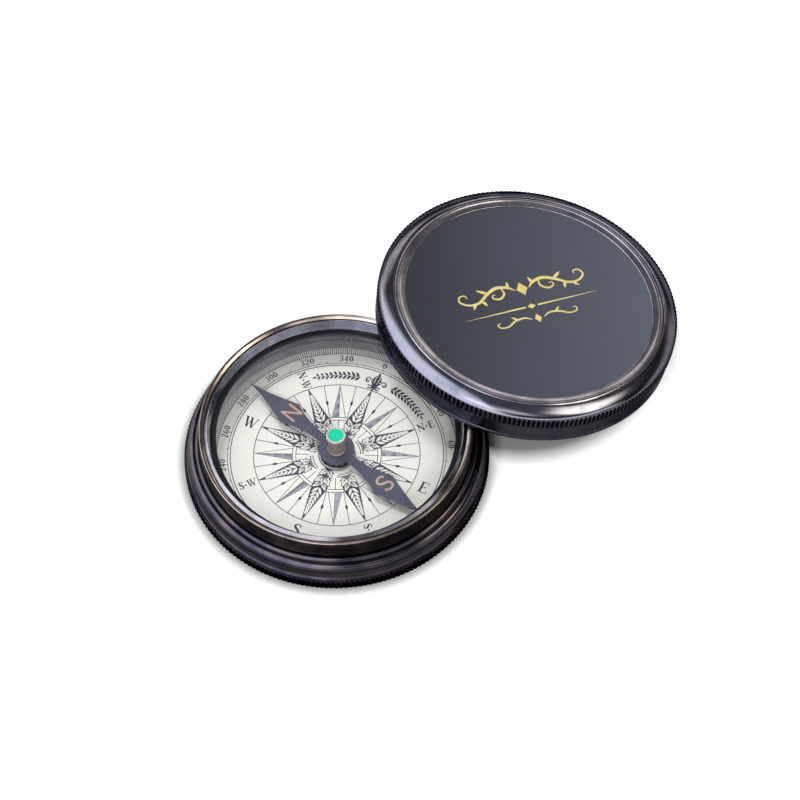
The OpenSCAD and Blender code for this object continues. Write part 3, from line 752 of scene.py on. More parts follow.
def makeGraduations(s):
    sheet = dialSheet()
    inner, outer = s["tickRing"]
    for degree in range(360):
        wide = s["tenthLine"] if degree % 10 == 0 else s["tickLine"]
        sheet.line(onDial(inner, degree), onDial(outer, degree), wide)
    for r, width in ((inner, 0.15), (s["circles"][0], 0.21), (s["circles"][1], 0.15)):
        sheet.ring(r, width)
    for degree in range(0, 360, 10):
        sheet.dot(onDial(s["circles"][1] + 0.12, degree), 0.09, 0.18)
    return sheet.piece("dialGraduations", [inkBlue])


def makeNumerals(s):
    sheet = dialSheet()
    for degree in range(0, 360, 20):
        write(sheet, str(degree), s["numeralH"], onDial(s["numeralR"], degree), degree, 1.02, 0.08)
    return sheet.piece("dialNumerals", [inkBlue])


def makeLetters(s):
    sheet = dialSheet()
    for ch, degree, squeeze in (("E", 90, 1.08), ("S", 180, 1.12), ("W", 270, 0.95)):
        write(sheet, ch, s["letterH"], onDial(s["letterR"], degree), 0, squeeze)
    for text, degree, lean in (("N.E", 45, -45), ("S.E", 135, 45), ("S.W", 225, -45), ("N.W", 315, 45)):
        write(sheet, text, s["sideLetterH"], onDial(s["sideLetterR"], degree), lean, 0.95, 0.04)
    return sheet.piece("dialLetters", [inkBlue])


def drawSlimRay(sheet, degree, s, line):
    # a narrow ray, pale and hatched on one half
    tip, middle = onDial(s["slimTip"], degree), onDial(s["starR"] + 0.05, degree)
    left, right = onDial(s["starR"], degree, -s["slimHalf"]), onDial(s["starR"], degree, s["slimHalf"])
    for end in (left, right, middle):
        sheet.line(end, tip, line, line * 0.7)
    sheet.slab([tip, middle, left], shade=1)
    for i in range(s["hatches"]):
        y = (i + 0.3) / s["hatches"] * s["hatchReach"]
        w = s["slimHalf"] * (1 - y / s["slimLong"])
        a = onDial(s["starR"], degree, -w * 0.75, y)
        b = onDial(s["starR"], degree, 0, min(y + 0.32 * w / s["slimHalf"] + 0.1, s["hatchEnd"]))
        sheet.line(a, b, 0.08, 0.24)


def makeRoseLines(s, line):
    sheet = dialSheet()
    sheet.ring(s["r"], 0.19)
    # the dark ring just round the washer: a printed hub line that also stands as painted contact shade round
    # the washer
    sheet.ring(s["hub"], 0.26)
    for k in range(16):
        # thin radial lines with a lozenge on each
        degree = 11.25 + 22.5 * k
        sheet.line(onDial(s["starR"] - 0.2, degree), onDial(s["r"], degree), line)
        sheet.slab([onDial(s["lozengeR"], degree, x, y) for x, y in
                    ((0, -1.0), (s["lozengeHalf"], 0.1), (0, 1.1), (-s["lozengeHalf"], 0.1))])
    for k in range(8):
        degree = 22.5 + 45 * k
        drawSlimRay(sheet, degree, s, line)
        # double arcs between the broad rays, with a short line inward
        reach = s["arcReach"]
        sheet.arc(s["starR"], degree - reach, degree + reach, line * 1.1)
        sheet.arc(s["starInnerR"], degree - reach + 0.6, degree + reach - 0.6, line * 1.1)
        sheet.line(onDial(s["starInnerR"], degree), onDial(s["spokeInnerR"], degree), line)
    return sheet.piece("dialRoseLines", [inkBlue, inkPale])


def drawLobedLeaf(sheets, degree, foot, tip, width):
    # a five lobed leaf with a dark edge and veins, from foot to tip; both are (x, r) beside the ray's axis
    ground, leaves, veins = sheets
    (x0, r0), (x1, r1) = foot, tip
    long = math.hypot(x1 - x0, r1 - r0)
    ux, uy = (x1 - x0) / long, (r1 - r0) / long

    def at(share, across, grow=0.0):
        out, wide = long / 2 + (share - 0.5) * (long + 2 * grow), across * (width + 2.4 * grow)
        return onDial(r0 + uy * out - ux * wide, degree, x0 + ux * out + uy * wide)

    lobes = ((0.12, 0.20), (0.02, 0.50), (0.28, 0.35), (0.48, 0.50), (0.58, 0.25), (0.76, 0.22))
    for sheet, grow in ((ground, 0.29), (leaves, 0.0)):
        sheet.slab([at(0, 0, grow)] + [at(a, b, grow) for a, b in lobes] + [at(1, 0, grow)]
                   + [at(a, -b, grow) for a, b in reversed(lobes)])
    veins.line(at(0.06, 0), at(0.72, 0), 0.20, 0.08)
    for side in (-1, 1):
        veins.line(at(0.14, side * 0.03), at(0.14, side * 0.36), 0.14, 0.06)
        veins.line(at(0.28, side * 0.02), at(0.48, side * 0.36), 0.14, 0.06)


def makeRoseRays(s, line):
    # the broad rays: dark ground, white leaves on it, and their veins
    ground, leaves, veins = dialSheet(), dialSheet("leafLift"), dialSheet("veinLift")
    sheets = (ground, leaves, veins)
    tip, foot = s["rayTip"], s["rayFoot"]

    def half(r):
        return s["raySlope"] * (tip - r)

    for degree in range(0, 360, 45):
        isCardinal = degree % 90 == 0
        edge = [(half(foot), foot), (1.85, 8.6)]
        edge += [(1.45, 7.0), (1.35, 5.6), (0.9, 4.4)] if isCardinal else [(1.2, 6.7)]
        ground.slab([onDial(tip, degree)] + [onDial(r, degree, x) for x, r in edge]
                    + [onDial(r, degree, -x) for x, r in reversed(edge)])
        # pairs of slender leaves that grow towards the base
        r = s["firstLeafR"]
        while r > s["lastLeafR"]:
            long = 0.95 + 0.55 * half(r)
            for side in (-1, 1):
                tipX = 0.84 * half(r + long / 2) - 0.02
                leaves.slab(leafOutline(onDial(r - long / 2, degree, side * 0.10),
                                        onDial(r + long / 2, degree, side * tipX), 0.27 + 0.24 * half(r)))
            r -= 0.62 + 0.42 * half(r)
        for side in (-1, 1):
            # a firm line along each side of the ray
            veins.line(onDial(tip, degree), onDial(foot, degree, side * half(foot)), 0.16, 0.24)
        for side in (-1, 1):
            # broad leaves at the foot of the ray
            drawLobedLeaf(sheets, degree, (side * 0.42, 8.95), (side * 1.72, 10.65), 1.25)
            drawLobedLeaf(sheets, degree, (side * 0.30, 7.1), (side * 1.95, 9.1), 1.60)
            if isCardinal:
                drawLobedLeaf(sheets, degree, (side * 0.25, 5.0), (side * 1.60, 6.8), 1.40)
        drawLobedLeaf(sheets, degree, (0, 7.4), (0, 9.5), 1.05)
        if not isCardinal:
            reach = s["smallArcReach"]
            for r, width in zip(s["smallArcs"], (line * 1.6, line * 1.4)):
                ground.arc(r, degree - reach, degree + reach, width)
    return (ground.piece("dialRoseRays", [inkRose]), leaves.piece("dialRoseLeaves", [cardWhite]),
            veins.piece("dialRoseVeins", [inkBlue]))


def makeFleur():
    # the north mark: middle petal, side scrolls, crossbar and foot
    sheet, inner = dialSheet(), dialSheet("leafLift")
    petal = smoothLine([(0, 26.15), (0.42, 25.2), (1.05, 24.1), (0.85, 23.0), (0.42, 21.9)])
    sheet.slab(petal + [(-x, y) for x, y in petal[-1:0:-1]])
    for flip in (-1, 1):
        sheet.curve([(0.45, 21.9, 0.35), (0.75, 22.7, 0.5), (1.35, 23.5, 0.55), (2.1, 23.8, 0.5),
                     (2.6, 23.2, 0.45), (2.35, 22.6, 0.4), (1.85, 22.75, 0.32), (1.95, 23.1, 0.2)], flip)
        sheet.curve([(0.2, 21.7, 0.3), (0.6, 21.2, 0.42), (1.2, 20.95, 0.35), (1.55, 21.15, 0.2)], flip)
        inner.curve([(0.78, 23.0, 0.1), (1.35, 23.55, 0.18), (2.1, 23.78, 0.16), (2.5, 23.3, 0.1)], flip)
        inner.stroke([(flip * 0.35, 22.6, 0.1), (flip * 0.5, 24.2, 0.16), (flip * 0.22, 25.2, 0.08)])
    sheet.line((-1.65, 21.75), (1.65, 21.75), 0.34)
    sheet.slab([(-0.42, 21.6), (0.42, 21.6), (0.22, 20.55), (-0.22, 20.55)])
    return sheet.piece("dialFleur", [inkBlue]), inner.piece("dialFleurLines", [cardWhite])


laurelSizes = dict(r=23.35, start=10.5, sweep=27.0, pairs=10, stemSteps=48, endLeaf=(37.2, 40.2))


def makeLaurel(s):
    # a laurel branch on each side of the north mark
    sheet = dialSheet()
    for flip in (-1, 1):
        stem = []
        for i in range(s["stemSteps"] + 1):
            t = i / s["stemSteps"]
            x, y = onDial(s["r"], flip * (s["start"] + s["sweep"] * t), 0, 0.12 * math.sin(t * 20))
            stem.append((x, y, 0.24 - 0.12 * t))
        sheet.stroke(stem)
        for i in range(s["pairs"]):
            t = (i + 0.2) / s["pairs"]
            degree = flip * (s["start"] + s["sweep"] * t)
            long, wide = 1.75 - 0.55 * t, 0.66 - 0.18 * t
            for up in (-1, 1):
                sheet.slab(leafOutline(onDial(s["r"], degree, flip * 0.1 * up, up * 0.1),
                                       onDial(s["r"], degree, flip * long * 0.62, up * long * 0.72), wide))
            if i % 2:
                sheet.dot(onDial(s["r"], degree, flip * 0.5, 0.85 if i % 4 == 1 else -0.85), 0.1, 0.2)
        foot, tip = s["endLeaf"]
        sheet.slab(leafOutline(onDial(s["r"], flip * foot), onDial(s["r"], flip * tip), 0.5))
    return sheet.piece("dialLaurel", [inkBlue])


dialPieces = [makeGraduations(dialSizes), makeNumerals(dialSizes), makeLetters(dialSizes),
              makeRoseLines(roseSizes, dialSizes["line"]), *makeRoseRays(roseSizes, dialSizes["line"]),
              *makeFleur(), makeLaurel(laurelSizes)]
for dialPiece in dialPieces:
    settle(dialPiece, "case", "dial_card")
print("dial printed")


washerSizes = dict(boreR=1.55, r=4.25, rimR=3.92, foot=1.3, top=1.6)
bossSizes = dict(r=3.65, foot=1.6, top=2.7, stemR=1.4, stemTop=3.2, spigotR=1.5, spigotFoot=0.8, boreR=0.5,
                 flutes=16, fluteSteps=12, fluteDepth=0.3)


def makeWasher(s):
    rim, face = range(2)
    # the flat top inside the bright rim takes the dark seat finish: painted shade in the gap round the boss
    line = [corner(s["boreR"], s["foot"], finish=rim), corner(s["r"], s["foot"], 0.05),
            corner(s["r"], s["top"], 0.09), corner(s["rimR"], s["top"], finish=face),
            corner(s["boreR"], s["top"], 0.05)]
    return turn("bossWasher", line, [brightWasher, seatBlack], steps=144)


def makeBoss(s):
    # fluted disc with a short stem and the spigot under it; a row is its radius, height and share of flute
    steps, verts, faces = s["flutes"] * s["fluteSteps"], [], []
    discR, top, stemR, stemTop = s["r"], s["top"], s["stemR"], s["stemTop"]
    rows = [(s["spigotR"], s["spigotFoot"], 0), (s["spigotR"], s["foot"], 0), (discR - 0.1, s["foot"], 1),
            (discR, s["foot"] + 0.1, 1), (discR, top - 0.2, 1), (discR - 0.06, top - 0.08, 1),
            (discR - 0.2, top, 1), (discR - 0.6, top, 0.6), (stemR + 0.05, top, 0), (stemR, top + 0.05, 0),
            (stemR, stemTop - 0.08, 0), (stemR - 0.08, stemTop, 0), (s["boreR"], stemTop, 0)]
    for r, z, share in rows:
        for i in range(steps):
            a = 2 * math.pi * i / steps
            out = r - s["fluteDepth"] * share * (1 - abs(math.sin(s["flutes"] * a / 2)))
            verts.append((out * math.cos(a), out * math.sin(a), z))
    for k in range(len(rows) - 1):
        faces += ringFaces(k * steps, steps, (k + 1) * steps, steps)
    faces.append(tuple(range(steps - 1, -1, -1)))
    faces.append(tuple(range(len(verts) - steps, len(verts))))
    return buildObject("pivotBoss", verts, faces, [pivotSteel])


settle(makeWasher(washerSizes), "case", "pivot_steel", "boss_washer")
settle(makeBoss(bossSizes), "case", "pivot_steel", "pivot_boss")


needleSizes = dict(turned=101.7, foot=3.85, top=4.2, half=28.6, halfWidth=3.4, hubR=4.45, boreR=1.95,
                   waist=((0.165, 0.32), (0.39, 0.34), (0.545, 1.0)), chamfer=0.04,
                   point=((0.545, 1.0), (0.86, 0.13), (1.0, 0.012)), mouthSteps=6, hubSteps=40)
needlePlace = Matrix.Rotation(math.radians(needleSizes["turned"]), 4, "Z")


def makeNeedle(s):
    # one flat plate: a round hub with a hole, and an arm to each side
    side = [(x * s["half"], y * s["halfWidth"]) for x, y in bend(*s["waist"], 16) + bend(*s["point"], 16)[1:]]
    mouth = math.asin(side[0][1] / s["hubR"])
    angles = []
    for start, stop, count in ((-mouth, mouth, s["mouthSteps"]), (mouth, math.pi - mouth, s["hubSteps"]),
                               (math.pi - mouth, math.pi + mouth, s["mouthSteps"]),
                               (math.pi + mouth, 2 * math.pi - mouth, s["hubSteps"])):
        angles += [start + (stop - start) * i / count for i in range(count)]
    n, arm = len(angles), len(side)
    verts, faces = [], []
    for z in (s["foot"], s["top"]):
        for r in (s["boreR"], s["hubR"]):
            verts += [(r * math.cos(a), r * math.sin(a), z) for a in angles]
        for flip in (1, -1):
            verts += [(flip * x, flip * y, z) for x, y in side]
            verts += [(flip * x, -flip * y, z) for x, y in reversed(side)]
    upper = 2 * n + 4 * arm
    # the hub's ring of faces, then one face for each arm: hub edge, out to the tip and back
    flat = [(i, n + i, n + (i + 1) % n, (i + 1) % n) for i in range(n)]
    for k in range(2):
        first, start = k * (s["mouthSteps"] + s["hubSteps"]), 2 * n + k * 2 * arm
        hubEdge = [n + (first + i) % n for i in range(s["mouthSteps"] + 1)]
        flat.append(tuple(hubEdge + [start + i for i in range(2 * arm)])[::-1])
    # upward faces run counter-clockwise, and the same ones below are turned over
    for f in flat:
        area = sum(verts[a][0] * verts[b][1] - verts[b][0] * verts[a][1] for a, b in zip(f, f[1:] + f[:1]))
        f = f if area > 0 else f[::-1]
        faces.append(tuple(v + upper for v in f))
        faces.append(f[::-1])
    # walls stand wherever an upper edge has a face on one side only
    edges = dict.fromkeys((a, b) for f in faces if max(f) >= upper for a, b in zip(f, f[1:] + f[:1]))
    faces += [(b, a, a - upper, b - upper) for a, b in edges if (b, a) not in edges]
    piece = buildObject("needle", verts, faces, [needleBlue], None, False, needlePlace)
    chamfer = piece.modifiers.new("edge", "BEVEL")
    chamfer.width, chamfer.segments = s["chamfer"] * mm, 2
    chamfer.limit_method, chamfer.angle_limit = "ANGLE", 1.0
    return piece


letterSizes = dict(lift=0.03, r=15.35, pen=0.58, northH=4.5, northW=3.6, northShift=0.35,
                   southH=4.2, southW=3.15, southShift=0.45, southIn=0.25)


def makeNeedleLetters(s, face):
    # round-ended sans letters, with their tops towards the north point
    sheet = InkSheet(face, s["lift"], 0)
    pen = s["pen"]

    def place(points, x0, height, width):
        return [(x0 + (y - 0.5) * height, -(x - 0.5) * width, pen) for x, y in points]

    def roundEnd(tip, inner):
        # narrowing bits, from just past the tip of a stroke inward
        x, y, w = tip
        reach = math.hypot(inner[0] - x, inner[1] - y)
        ux, uy = (inner[0] - x) / reach, (inner[1] - y) / reach
        return [(x + ux * w * k, y + uy * w * k, w * f) for k, f in ((0.0, 0.35), (0.08, 0.7), (0.22, 0.93))]

    def draw(points, shift):
        points = [(x, y - shift, w) for x, y, w in points]
        sheet.stroke(roundEnd(points[0], points[1]) + points[1:-1] + roundEnd(points[-1], points[-2])[::-1])

    for points in ([(0.1, 0.0), (0.1, 1.0)], [(0.1, 0.97), (0.9, 0.03)], [(0.9, 0.0), (0.9, 1.0)]):
        draw(place(points, s["r"], s["northH"], s["northW"]), s["northShift"])
    curve = [(0.88, 0.80), (0.76, 0.94), (0.5, 1.0), (0.22, 0.93), (0.11, 0.76), (0.25, 0.59), (0.5, 0.51),
             (0.77, 0.42), (0.9, 0.23), (0.77, 0.06), (0.5, 0.0), (0.23, 0.06), (0.1, 0.21)]
    draw(smoothLine(place(curve, -s["r"] - s["southIn"], s["southH"], s["southW"])), s["southShift"])
    return sheet.piece("needleLetters", [needleTan], needlePlace)


capSizes = dict(foot=3.55, top=10.35, footR=2.3, footH=0.35, waistR=2.05, headR=2.4, headH=0.85, flareH=0.3,
                spigotR=1.9, seat=4.2, boreR=1.15, boreTop=9.8, spotGap=0.05)
spotSizes = dict(r=1.87, foot=10.05, edge=10.25, shoulder=10.29, top=10.30)


def makeCap(s, spot):
    body, rim = range(2)
    flareFoot, headFoot, holeR = s["seat"] + s["footH"], s["top"] - s["headH"], spot["r"] + s["spotGap"]
    line = [corner(s["boreR"], s["foot"], finish=body), corner(s["spigotR"], s["foot"], 0.08),
            corner(s["spigotR"], s["seat"]), corner(s["footR"], s["seat"], 0.05),
            corner(s["footR"], flareFoot, 0.1), corner(s["waistR"], flareFoot + s["flareH"], 0.15),
            corner(s["waistR"], headFoot - s["flareH"], 0.15), corner(s["headR"], headFoot, 0.1),
            corner(s["headR"], s["top"], 0.14, finish=rim, edge=rim), corner(holeR, s["top"], 0.06),
            corner(holeR, spot["foot"], finish=body), corner(0, spot["foot"]),
            corner(0, s["boreTop"]), corner(s["boreR"], s["boreTop"])]
    return turn("needleCap", line, [capBrass, capRim], steps=120, place=needlePlace)


def makeSpot(s):
    line = [corner(0, s["foot"]), corner(s["r"], s["foot"]), corner(s["r"], s["edge"], 0.08),
            corner(s["r"] * 0.5, s["shoulder"]), corner(0, s["top"])]
    return turn("capSpot", line, [enamelGreen], steps=120, closed=False, place=needlePlace)


settle(makeNeedle(needleSizes), "needle", "blued_steel", "needle")
settle(makeNeedleLetters(letterSizes, needleSizes["top"]), "needle", "blued_steel")
settle(makeCap(capSizes, spotSizes), "needle", "cap_brass", "needle_cap")
settle(makeSpot(spotSizes), "needle", "green_enamel", "cap_spot")
print("pivot and needle done")


lidSizes = dict(
    x=56.9, lip=7.921, tilt=12.457, footR=36.6875, footRound=0.3125, beadR=37.0, lineDepth=0.25,
    line1=1.25, skirt=1.41, line2=5.15, band=5.31, bandTop=7.91, rootR=37.15, crestR=37.5,
    crownW=3.45, crownH=2.0, recessR=33.7, recessFloor=8.66, mouthR=33.8, threadTop=4.4, threadFoot=0.45,
    threadStart=4.15, fadeTop=4.1, fadeRun=0.3, innerR=34.9, ceiling=7.86, threadPitch=0.75,
    threadDepth=0.22, knurlCount=196, knurlDepth=0.35,
)
plateSizes = dict(r=33.65, foot=8.66, top=9.16)
ringSizes = dict(innerR=31.0, edge=0.15, rise=0.65)
lidPlace = (Matrix.Translation((lidSizes["x"] * mm, 0, lidSizes["lip"] * mm))
            @ Matrix.Rotation(math.radians(lidSizes["tilt"]), 4, "Y"))


def makeLidShell(s):
    body, rim, teeth = range(3)
    span = (s["rootR"], s["crownW"], s["bandTop"], s["crownH"])
    # the crown: its side, the slope over it and the rolled edge round the plate
    crown = bend((0, 0.02), (0.06, 0.29), (0.26, 0.50), 14)
    crown += bend((0.26, 0.50), (0.52, 0.78), (0.86, 0.99), 14)[1:]
    crown += bend((0.86, 0.99), (0.99, 1.06), (1, 0.78), 14)[1:]
    crown = shoulder(crown, *span)
    lineR, turned = s["beadR"] - s["lineDepth"], s["footRound"]
    quarter = [math.pi / 2 * i / 6 for i in range(7)]
    line = [corner(s["mouthR"], 0, 0.15, finish=body)]
    line += along([(s["footR"] + turned * math.sin(a), turned * (1 - math.cos(a))) for a in quarter], body)
    line += [corner(s["beadR"], s["line1"] - 0.1), corner(s["beadR"] - 0.1, s["line1"]),
             corner(lineR, s["line1"] + 0.02, 0.04), corner(lineR, s["skirt"] - 0.02, 0.04),
             corner(s["beadR"], s["skirt"], 0.05), corner(s["beadR"], s["line2"], 0.05),
             corner(lineR, s["line2"] + 0.02, 0.04), corner(lineR, s["band"], 0.04)]
    line += toothedBand(s["band"], s["bandTop"], s["crestR"], body) + along(crown[:-1], rim)
    line += [corner(*crown[-1], 0.05, finish=body),
             corner(s["recessR"], s["recessFloor"]), corner(0, s["recessFloor"]),
             corner(0, s["ceiling"]), corner(s["innerR"], s["ceiling"], 0.2),
             corner(s["innerR"], s["threadTop"], 0.1),
             corner(s["mouthR"] + 0.02, s["threadTop"] - 0.05, 0.05)]
    line += threadRings(s["mouthR"] + s["threadDepth"], s["threadStart"], s["threadFoot"],
                        (s["threadFoot"], s["fadeRun"]), (s["fadeTop"], s["fadeRun"]), body)
    # the knurl's groove faces take the darkest finish, a painted shade
    return turn("lidShell", line, [lidBrass, shoulderBrass, grooveShade], place=lidPlace,
                knurl=dict(count=s["knurlCount"], depth=s["knurlDepth"], groove=teeth),
                thread=dict(pitch=s["threadPitch"], depth=s["threadDepth"]))


def makeLidPlate(s):
    line = [corner(0, s["foot"]), corner(s["r"], s["foot"], 0.05), corner(s["r"], s["top"], 0.05),
            corner(0, s["top"])]
    return turn("lidPlate", line, [plateSlate], closed=False, place=lidPlace)


def makeLidRing(s, plate):
    w, h = plate["r"] - s["innerR"], s["rise"] - s["edge"]
    points = bend((0, 0.08), (0.52, 0.30), (0.62, 0.80), 14)
    points += bend((0.62, 0.80), (0.80, 1.25), (1, 0.50), 12)[1:]
    line = [corner(s["innerR"], plate["top"])]
    line += [corner(s["innerR"] + x * w, plate["top"] + s["edge"] + y * h) for x, y in points]
    line += [corner(plate["r"], plate["top"])]
    return turn("lidRing", line, [lidRingBrass], place=lidPlace)


ornamentSizes = dict(lift=0.03, turned=-12.5)


def makeOrnament(s, face):
    # a gilt divider on the plate: a lozenge with a scroll to each side, over a ruled line
    sheet = InkSheet(face, s["lift"], s["turned"])
    sheet.slab([(0, 6.3), (1.5, 4.2), (0, 2.1), (-1.5, 4.2)])
    for flip in (-1, 1):
        sheet.curve([(1.9, 4.2, 0.25), (3.6, 5.6, 0.75), (6.4, 6.2, 0.95), (9.4, 4.9, 0.8), (12.2, 3.0, 0.7),
                     (15.0, 2.9, 0.6), (16.9, 4.4, 0.5), (16.4, 6.0, 0.42), (15.0, 6.1, 0.36),
                     (14.7, 5.1, 0.24)], flip, 7)
        sheet.curve([(5.2, 5.9, 0.3), (5.0, 4.0, 0.55), (6.6, 2.7, 0.6), (8.2, 3.2, 0.45), (8.1, 4.2, 0.3),
                     (7.3, 4.2, 0.2)], flip, 6)
        for base, tip, width in (((9.0, 5.1), (11.6, 6.9), 0.9), ((11.4, 3.4), (10.6, 1.4), 0.8),
                                 ((3.4, 5.3), (2.9, 7.4), 0.8), ((13.2, 2.9), (14.6, 1.2), 0.7)):
            sheet.slab(leafOutline((flip * base[0], base[1]), (flip * tip[0], tip[1]), width))
        sheet.stroke([(flip * 1.6, -1.6, 0.5), (flip * 9.0, -1.6, 0.34), (flip * 18.0, -1.6, 0.05)])
        sheet.curve([(1.7, -5.6, 0.2), (3.4, -4.7, 0.5), (6.0, -5.0, 0.55), (8.4, -6.2, 0.45),
                     (10.4, -6.0, 0.36), (10.7, -4.9, 0.26), (9.9, -4.7, 0.18)], flip, 6)
        sheet.slab(leafOutline((flip * 5.0, -5.0), (flip * 6.6, -3.5), 0.6))
    sheet.slab([(0, -0.8), (1.1, -1.6), (0, -2.4), (-1.1, -1.6)])
    sheet.slab([(0, -4.2), (0.9, -5.6), (0, -7.0), (-0.9, -5.6)])
    return sheet.piece("lidOrnament", [gilding], lidPlace)


settle(makeLidShell(lidSizes), "lid", "blackened_brass", "lid_shell")
settle(makeLidPlate(plateSizes), "lid", "satin_plate", "lid_plate")
settle(makeLidRing(ringSizes, plateSizes), "lid", "lid_ring", "lid_ring")
settle(makeOrnament(ornamentSizes, plateSizes["top"]), "lid", "satin_plate")
print("lid done")

# these stay as they came and only get a finish
keptParts = dict(dial_plate=plainBrass, dial_card=cardWhite, pivot_pin=pivotSteel, needle_washer=pivotSteel,
                 cap_jewel=jewelRed)
for nodeName, finish in keptParts.items():
    part = bpy.data.objects[nodeName]
    if not part.material_slots:
        part.data.materials.append(finish)
    for materialSlot in part.material_slots:
        materialSlot.material = finish


floorSizes = dict(half=4000.0, tone=0.50, roughness=0.9, contactReach=0.004, contactPower=3.2,
                  glow=(0.0, 0.75), glowReach=(-0.0024, 0.0023), lidInset=3.8, mirrored=0.15)


def makeFloor(s):
    finish, tree, shader = newFinish("floorWhite")
    shader.inputs["Roughness"].default_value = s["roughness"]
    shader.inputs["Specular IOR Level"].default_value = 0.0
    # painted contact shade: occlusion darkens the floor's colour close to what stands on it
    contact = addNode(tree, "ShaderNodeAmbientOcclusion",
                      {"Color": (s["tone"],) * 3 + (1,), "Distance": s["contactReach"]}, samples=8)
    paintedContactShade = calculate(tree, "POWER", contact.outputs["AO"], s["contactPower"])
    tone = calculateVector(tree, "SCALE", {0: contact.outputs["Color"], "Scale": paintedContactShade})
    tree.links.new(tone, shader.inputs["Base Color"])
    # a white glow that only the eye sees in full; it grows away from the two round parts, so close round them
    # the floor stays darker, a painted shadow
    where = onPiece(tree)
    away = []
    for x, r in ((0.0, caseSizes["crestR"]), (lidSizes["x"], lidSizes["crestR"] - s["lidInset"])):
        gap = calculateVector(tree, "DISTANCE", {0: where, 1: (x * mm, 0.0, 0.0)})
        away.append(calculate(tree, "SUBTRACT", gap, r * mm))
    glow = remap(tree, calculate(tree, "MINIMUM", *away), s["glowReach"], s["glow"])
    # metal and glass mirror a weaker glow
    path = addNode(tree, "ShaderNodeLightPath")
    mirrored = calculate(tree, "MAXIMUM", path.outputs["Is Glossy Ray"], path.outputs["Is Transmission Ray"])
    mirrored = calculate(tree, "MULTIPLY", mirrored, s["mirrored"])
    seen = calculate(tree, "MAXIMUM", path.outputs["Is Camera Ray"], mirrored)
    light = addNode(tree, "ShaderNodeEmission",
                    {"Color": (1, 1, 1, 1), "Strength": calculate(tree, "MULTIPLY", seen, glow)})
    both = addNode(tree, "ShaderNodeAddShader", {0: shader.outputs[0], 1: light.outputs[0]})
    showInstead(tree, both.outputs[0])
    h = s["half"]
    piece = buildObject("floor", [(-h, -h, 0), (h, -h, 0), (h, h, 0), (-h, h, 0)], [(0, 1, 2, 3)], [finish],
                        smooth=False)


makeFloor(floorSizes)

# panels that metal mirrors: middle azimuth and elevation, half widths, soft edge (degrees), colour, strength
roomPanels = (
    (163, 42, 68, 44, 8, (0.86, 0.90, 1.0), 3.0),
    (320, 52, 17, 11, 6, (1.0, 0.93, 0.78), 6.2),
    (237, 68, 42, 8, 6, (1.0, 0.96, 0.91), 1.9),
    (270, 21, 38, 9, 6, (0.94, 0.94, 1.0), 2.4),
    (348, 6, 18, 9, 6, (1.0, 0.90, 0.98), 0.8),
    (52, 21, 40, 7, 5, (1.0, 0.95, 0.89), 1.7),
)
roomTones = dict(colours=[(0.034, 0.034, 0.038), (0.20, 0.21, 0.25)], heights=(0.35, 0.95),
                 fill=0.73, fillColour=(0.98, 0.99, 1.0, 1))


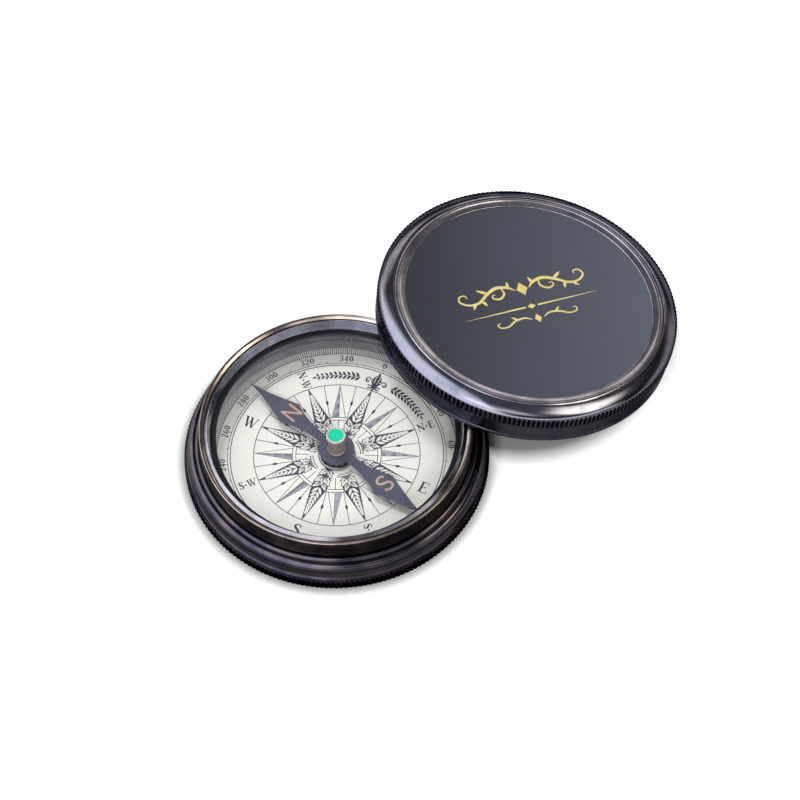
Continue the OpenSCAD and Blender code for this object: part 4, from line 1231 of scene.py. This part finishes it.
def makeWorld(panels, s):
    # shiny surfaces mirror a dark room with a few soft panels; dull ones are lit evenly by it
    world = bpy.data.worlds.new("studio")
    bpy.context.scene.world = world
    world.use_nodes = True
    tree = world.node_tree
    tree.nodes.clear()

    def shareWithin(gap, half, soft):
        edges = (math.radians(half - soft), math.radians(half + soft))
        return remap(tree, gap, edges, (1.0, 0.0), "SMOOTHSTEP")

    way = addNode(tree, "ShaderNodeTexCoord").outputs["Generated"]
    xyz = addNode(tree, "ShaderNodeSeparateXYZ", {0: way})
    height = remap(tree, xyz.outputs["Z"], s["heights"], (0.0, 1.0), "SMOOTHSTEP")
    total = colourRamp(tree, height, s["colours"])
    elevation = calculate(tree, "ARCSINE", xyz.outputs["Z"])
    flat = addNode(tree, "ShaderNodeCombineXYZ", {"X": xyz.outputs["X"], "Y": xyz.outputs["Y"]}).outputs[0]
    flat = calculateVector(tree, "NORMALIZE", {0: flat})
    for azimuth, middle, halfWide, halfHigh, soft, colour, strength in panels:
        a = math.radians(azimuth)
        apart = calculateVector(tree, "DOT_PRODUCT", {0: flat, 1: (math.cos(a), math.sin(a), 0)})
        above = calculate(tree, "ABSOLUTE", calculate(tree, "SUBTRACT", elevation, math.radians(middle)))
        share = calculate(tree, "MULTIPLY", shareWithin(calculate(tree, "ARCCOSINE", apart), halfWide, soft),
                          strength)
        share = calculate(tree, "MULTIPLY", shareWithin(above, halfHigh, soft), share)
        glow = calculateVector(tree, "SCALE", {0: colour, "Scale": share})
        total = calculateVector(tree, "ADD", {0: total, 1: glow})
    shine = addNode(tree, "ShaderNodeBackground", {"Color": total, "Strength": 1.0})
    fill = addNode(tree, "ShaderNodeBackground", {"Color": s["fillColour"], "Strength": s["fill"]})
    backdrop = addNode(tree, "ShaderNodeBackground", {"Color": (1, 1, 1, 1), "Strength": 1.0})
    path = addNode(tree, "ShaderNodeLightPath")
    both = addNode(tree, "ShaderNodeMixShader",
                   {0: path.outputs["Is Glossy Ray"], 1: fill.outputs[0], 2: shine.outputs[0]})
    both = addNode(tree, "ShaderNodeMixShader",
                   {0: path.outputs["Is Camera Ray"], 1: both.outputs[0], 2: backdrop.outputs[0]})
    addNode(tree, "ShaderNodeOutputWorld", {0: both.outputs[0]})


makeWorld(roomPanels, roomTones)

lampSizes = dict(size=0.7, distance=3.0, aim=(0.025, 0.0, 0.01))


def softLamp(name, azimuth, elevation, radiance, colour, s):
    # a panel that faces the object and lights it without showing in metal or glass
    lamp = bpy.data.lights.new(name, "AREA")
    lamp.shape = "SQUARE"
    lamp.size = s["size"]
    lamp.energy = radiance * math.pi * s["size"] ** 2
    lamp.color = colour
    holder = bpy.data.objects.new(name, lamp)
    bpy.context.scene.collection.objects.link(holder)
    a, e = math.radians(azimuth), math.radians(elevation)
    way = Vector((math.cos(a) * math.cos(e), math.sin(a) * math.cos(e), math.sin(e)))
    holder.location = Vector(s["aim"]) + way * s["distance"]
    holder.rotation_euler = way.to_track_quat("Z", "Y").to_euler()
    holder.visible_camera = False
    holder.visible_glossy = False
    holder.visible_transmission = False


softLamp("keyLamp", 88, 70, 21.0, (1.0, 0.99, 0.97), lampSizes)
softLamp("frontLamp", 246, 44, 16.0, (1.0, 1.0, 1.0), lampSizes)
print("light set")

cameraSizes = dict(lens=279.1456, sensor=36.0, near=0.01, place=(-0.44191746, -0.68478812, 1.29043871),
                   turned=(32.7650694, 1.25938445, -35.91999619))


def makeCamera(s):
    data = bpy.data.cameras.new("camera")
    data.lens = s["lens"]
    data.sensor_width = s["sensor"]
    data.sensor_fit = "HORIZONTAL"
    data.clip_start = s["near"]
    camera = bpy.data.objects.new("camera", data)
    bpy.context.scene.collection.objects.link(camera)
    camera.location = s["place"]
    camera.rotation_euler = [math.radians(a) for a in s["turned"]]
    return camera


bpy.context.scene.camera = makeCamera(cameraSizes)
bpy.context.scene.view_settings.view_transform = "Standard"
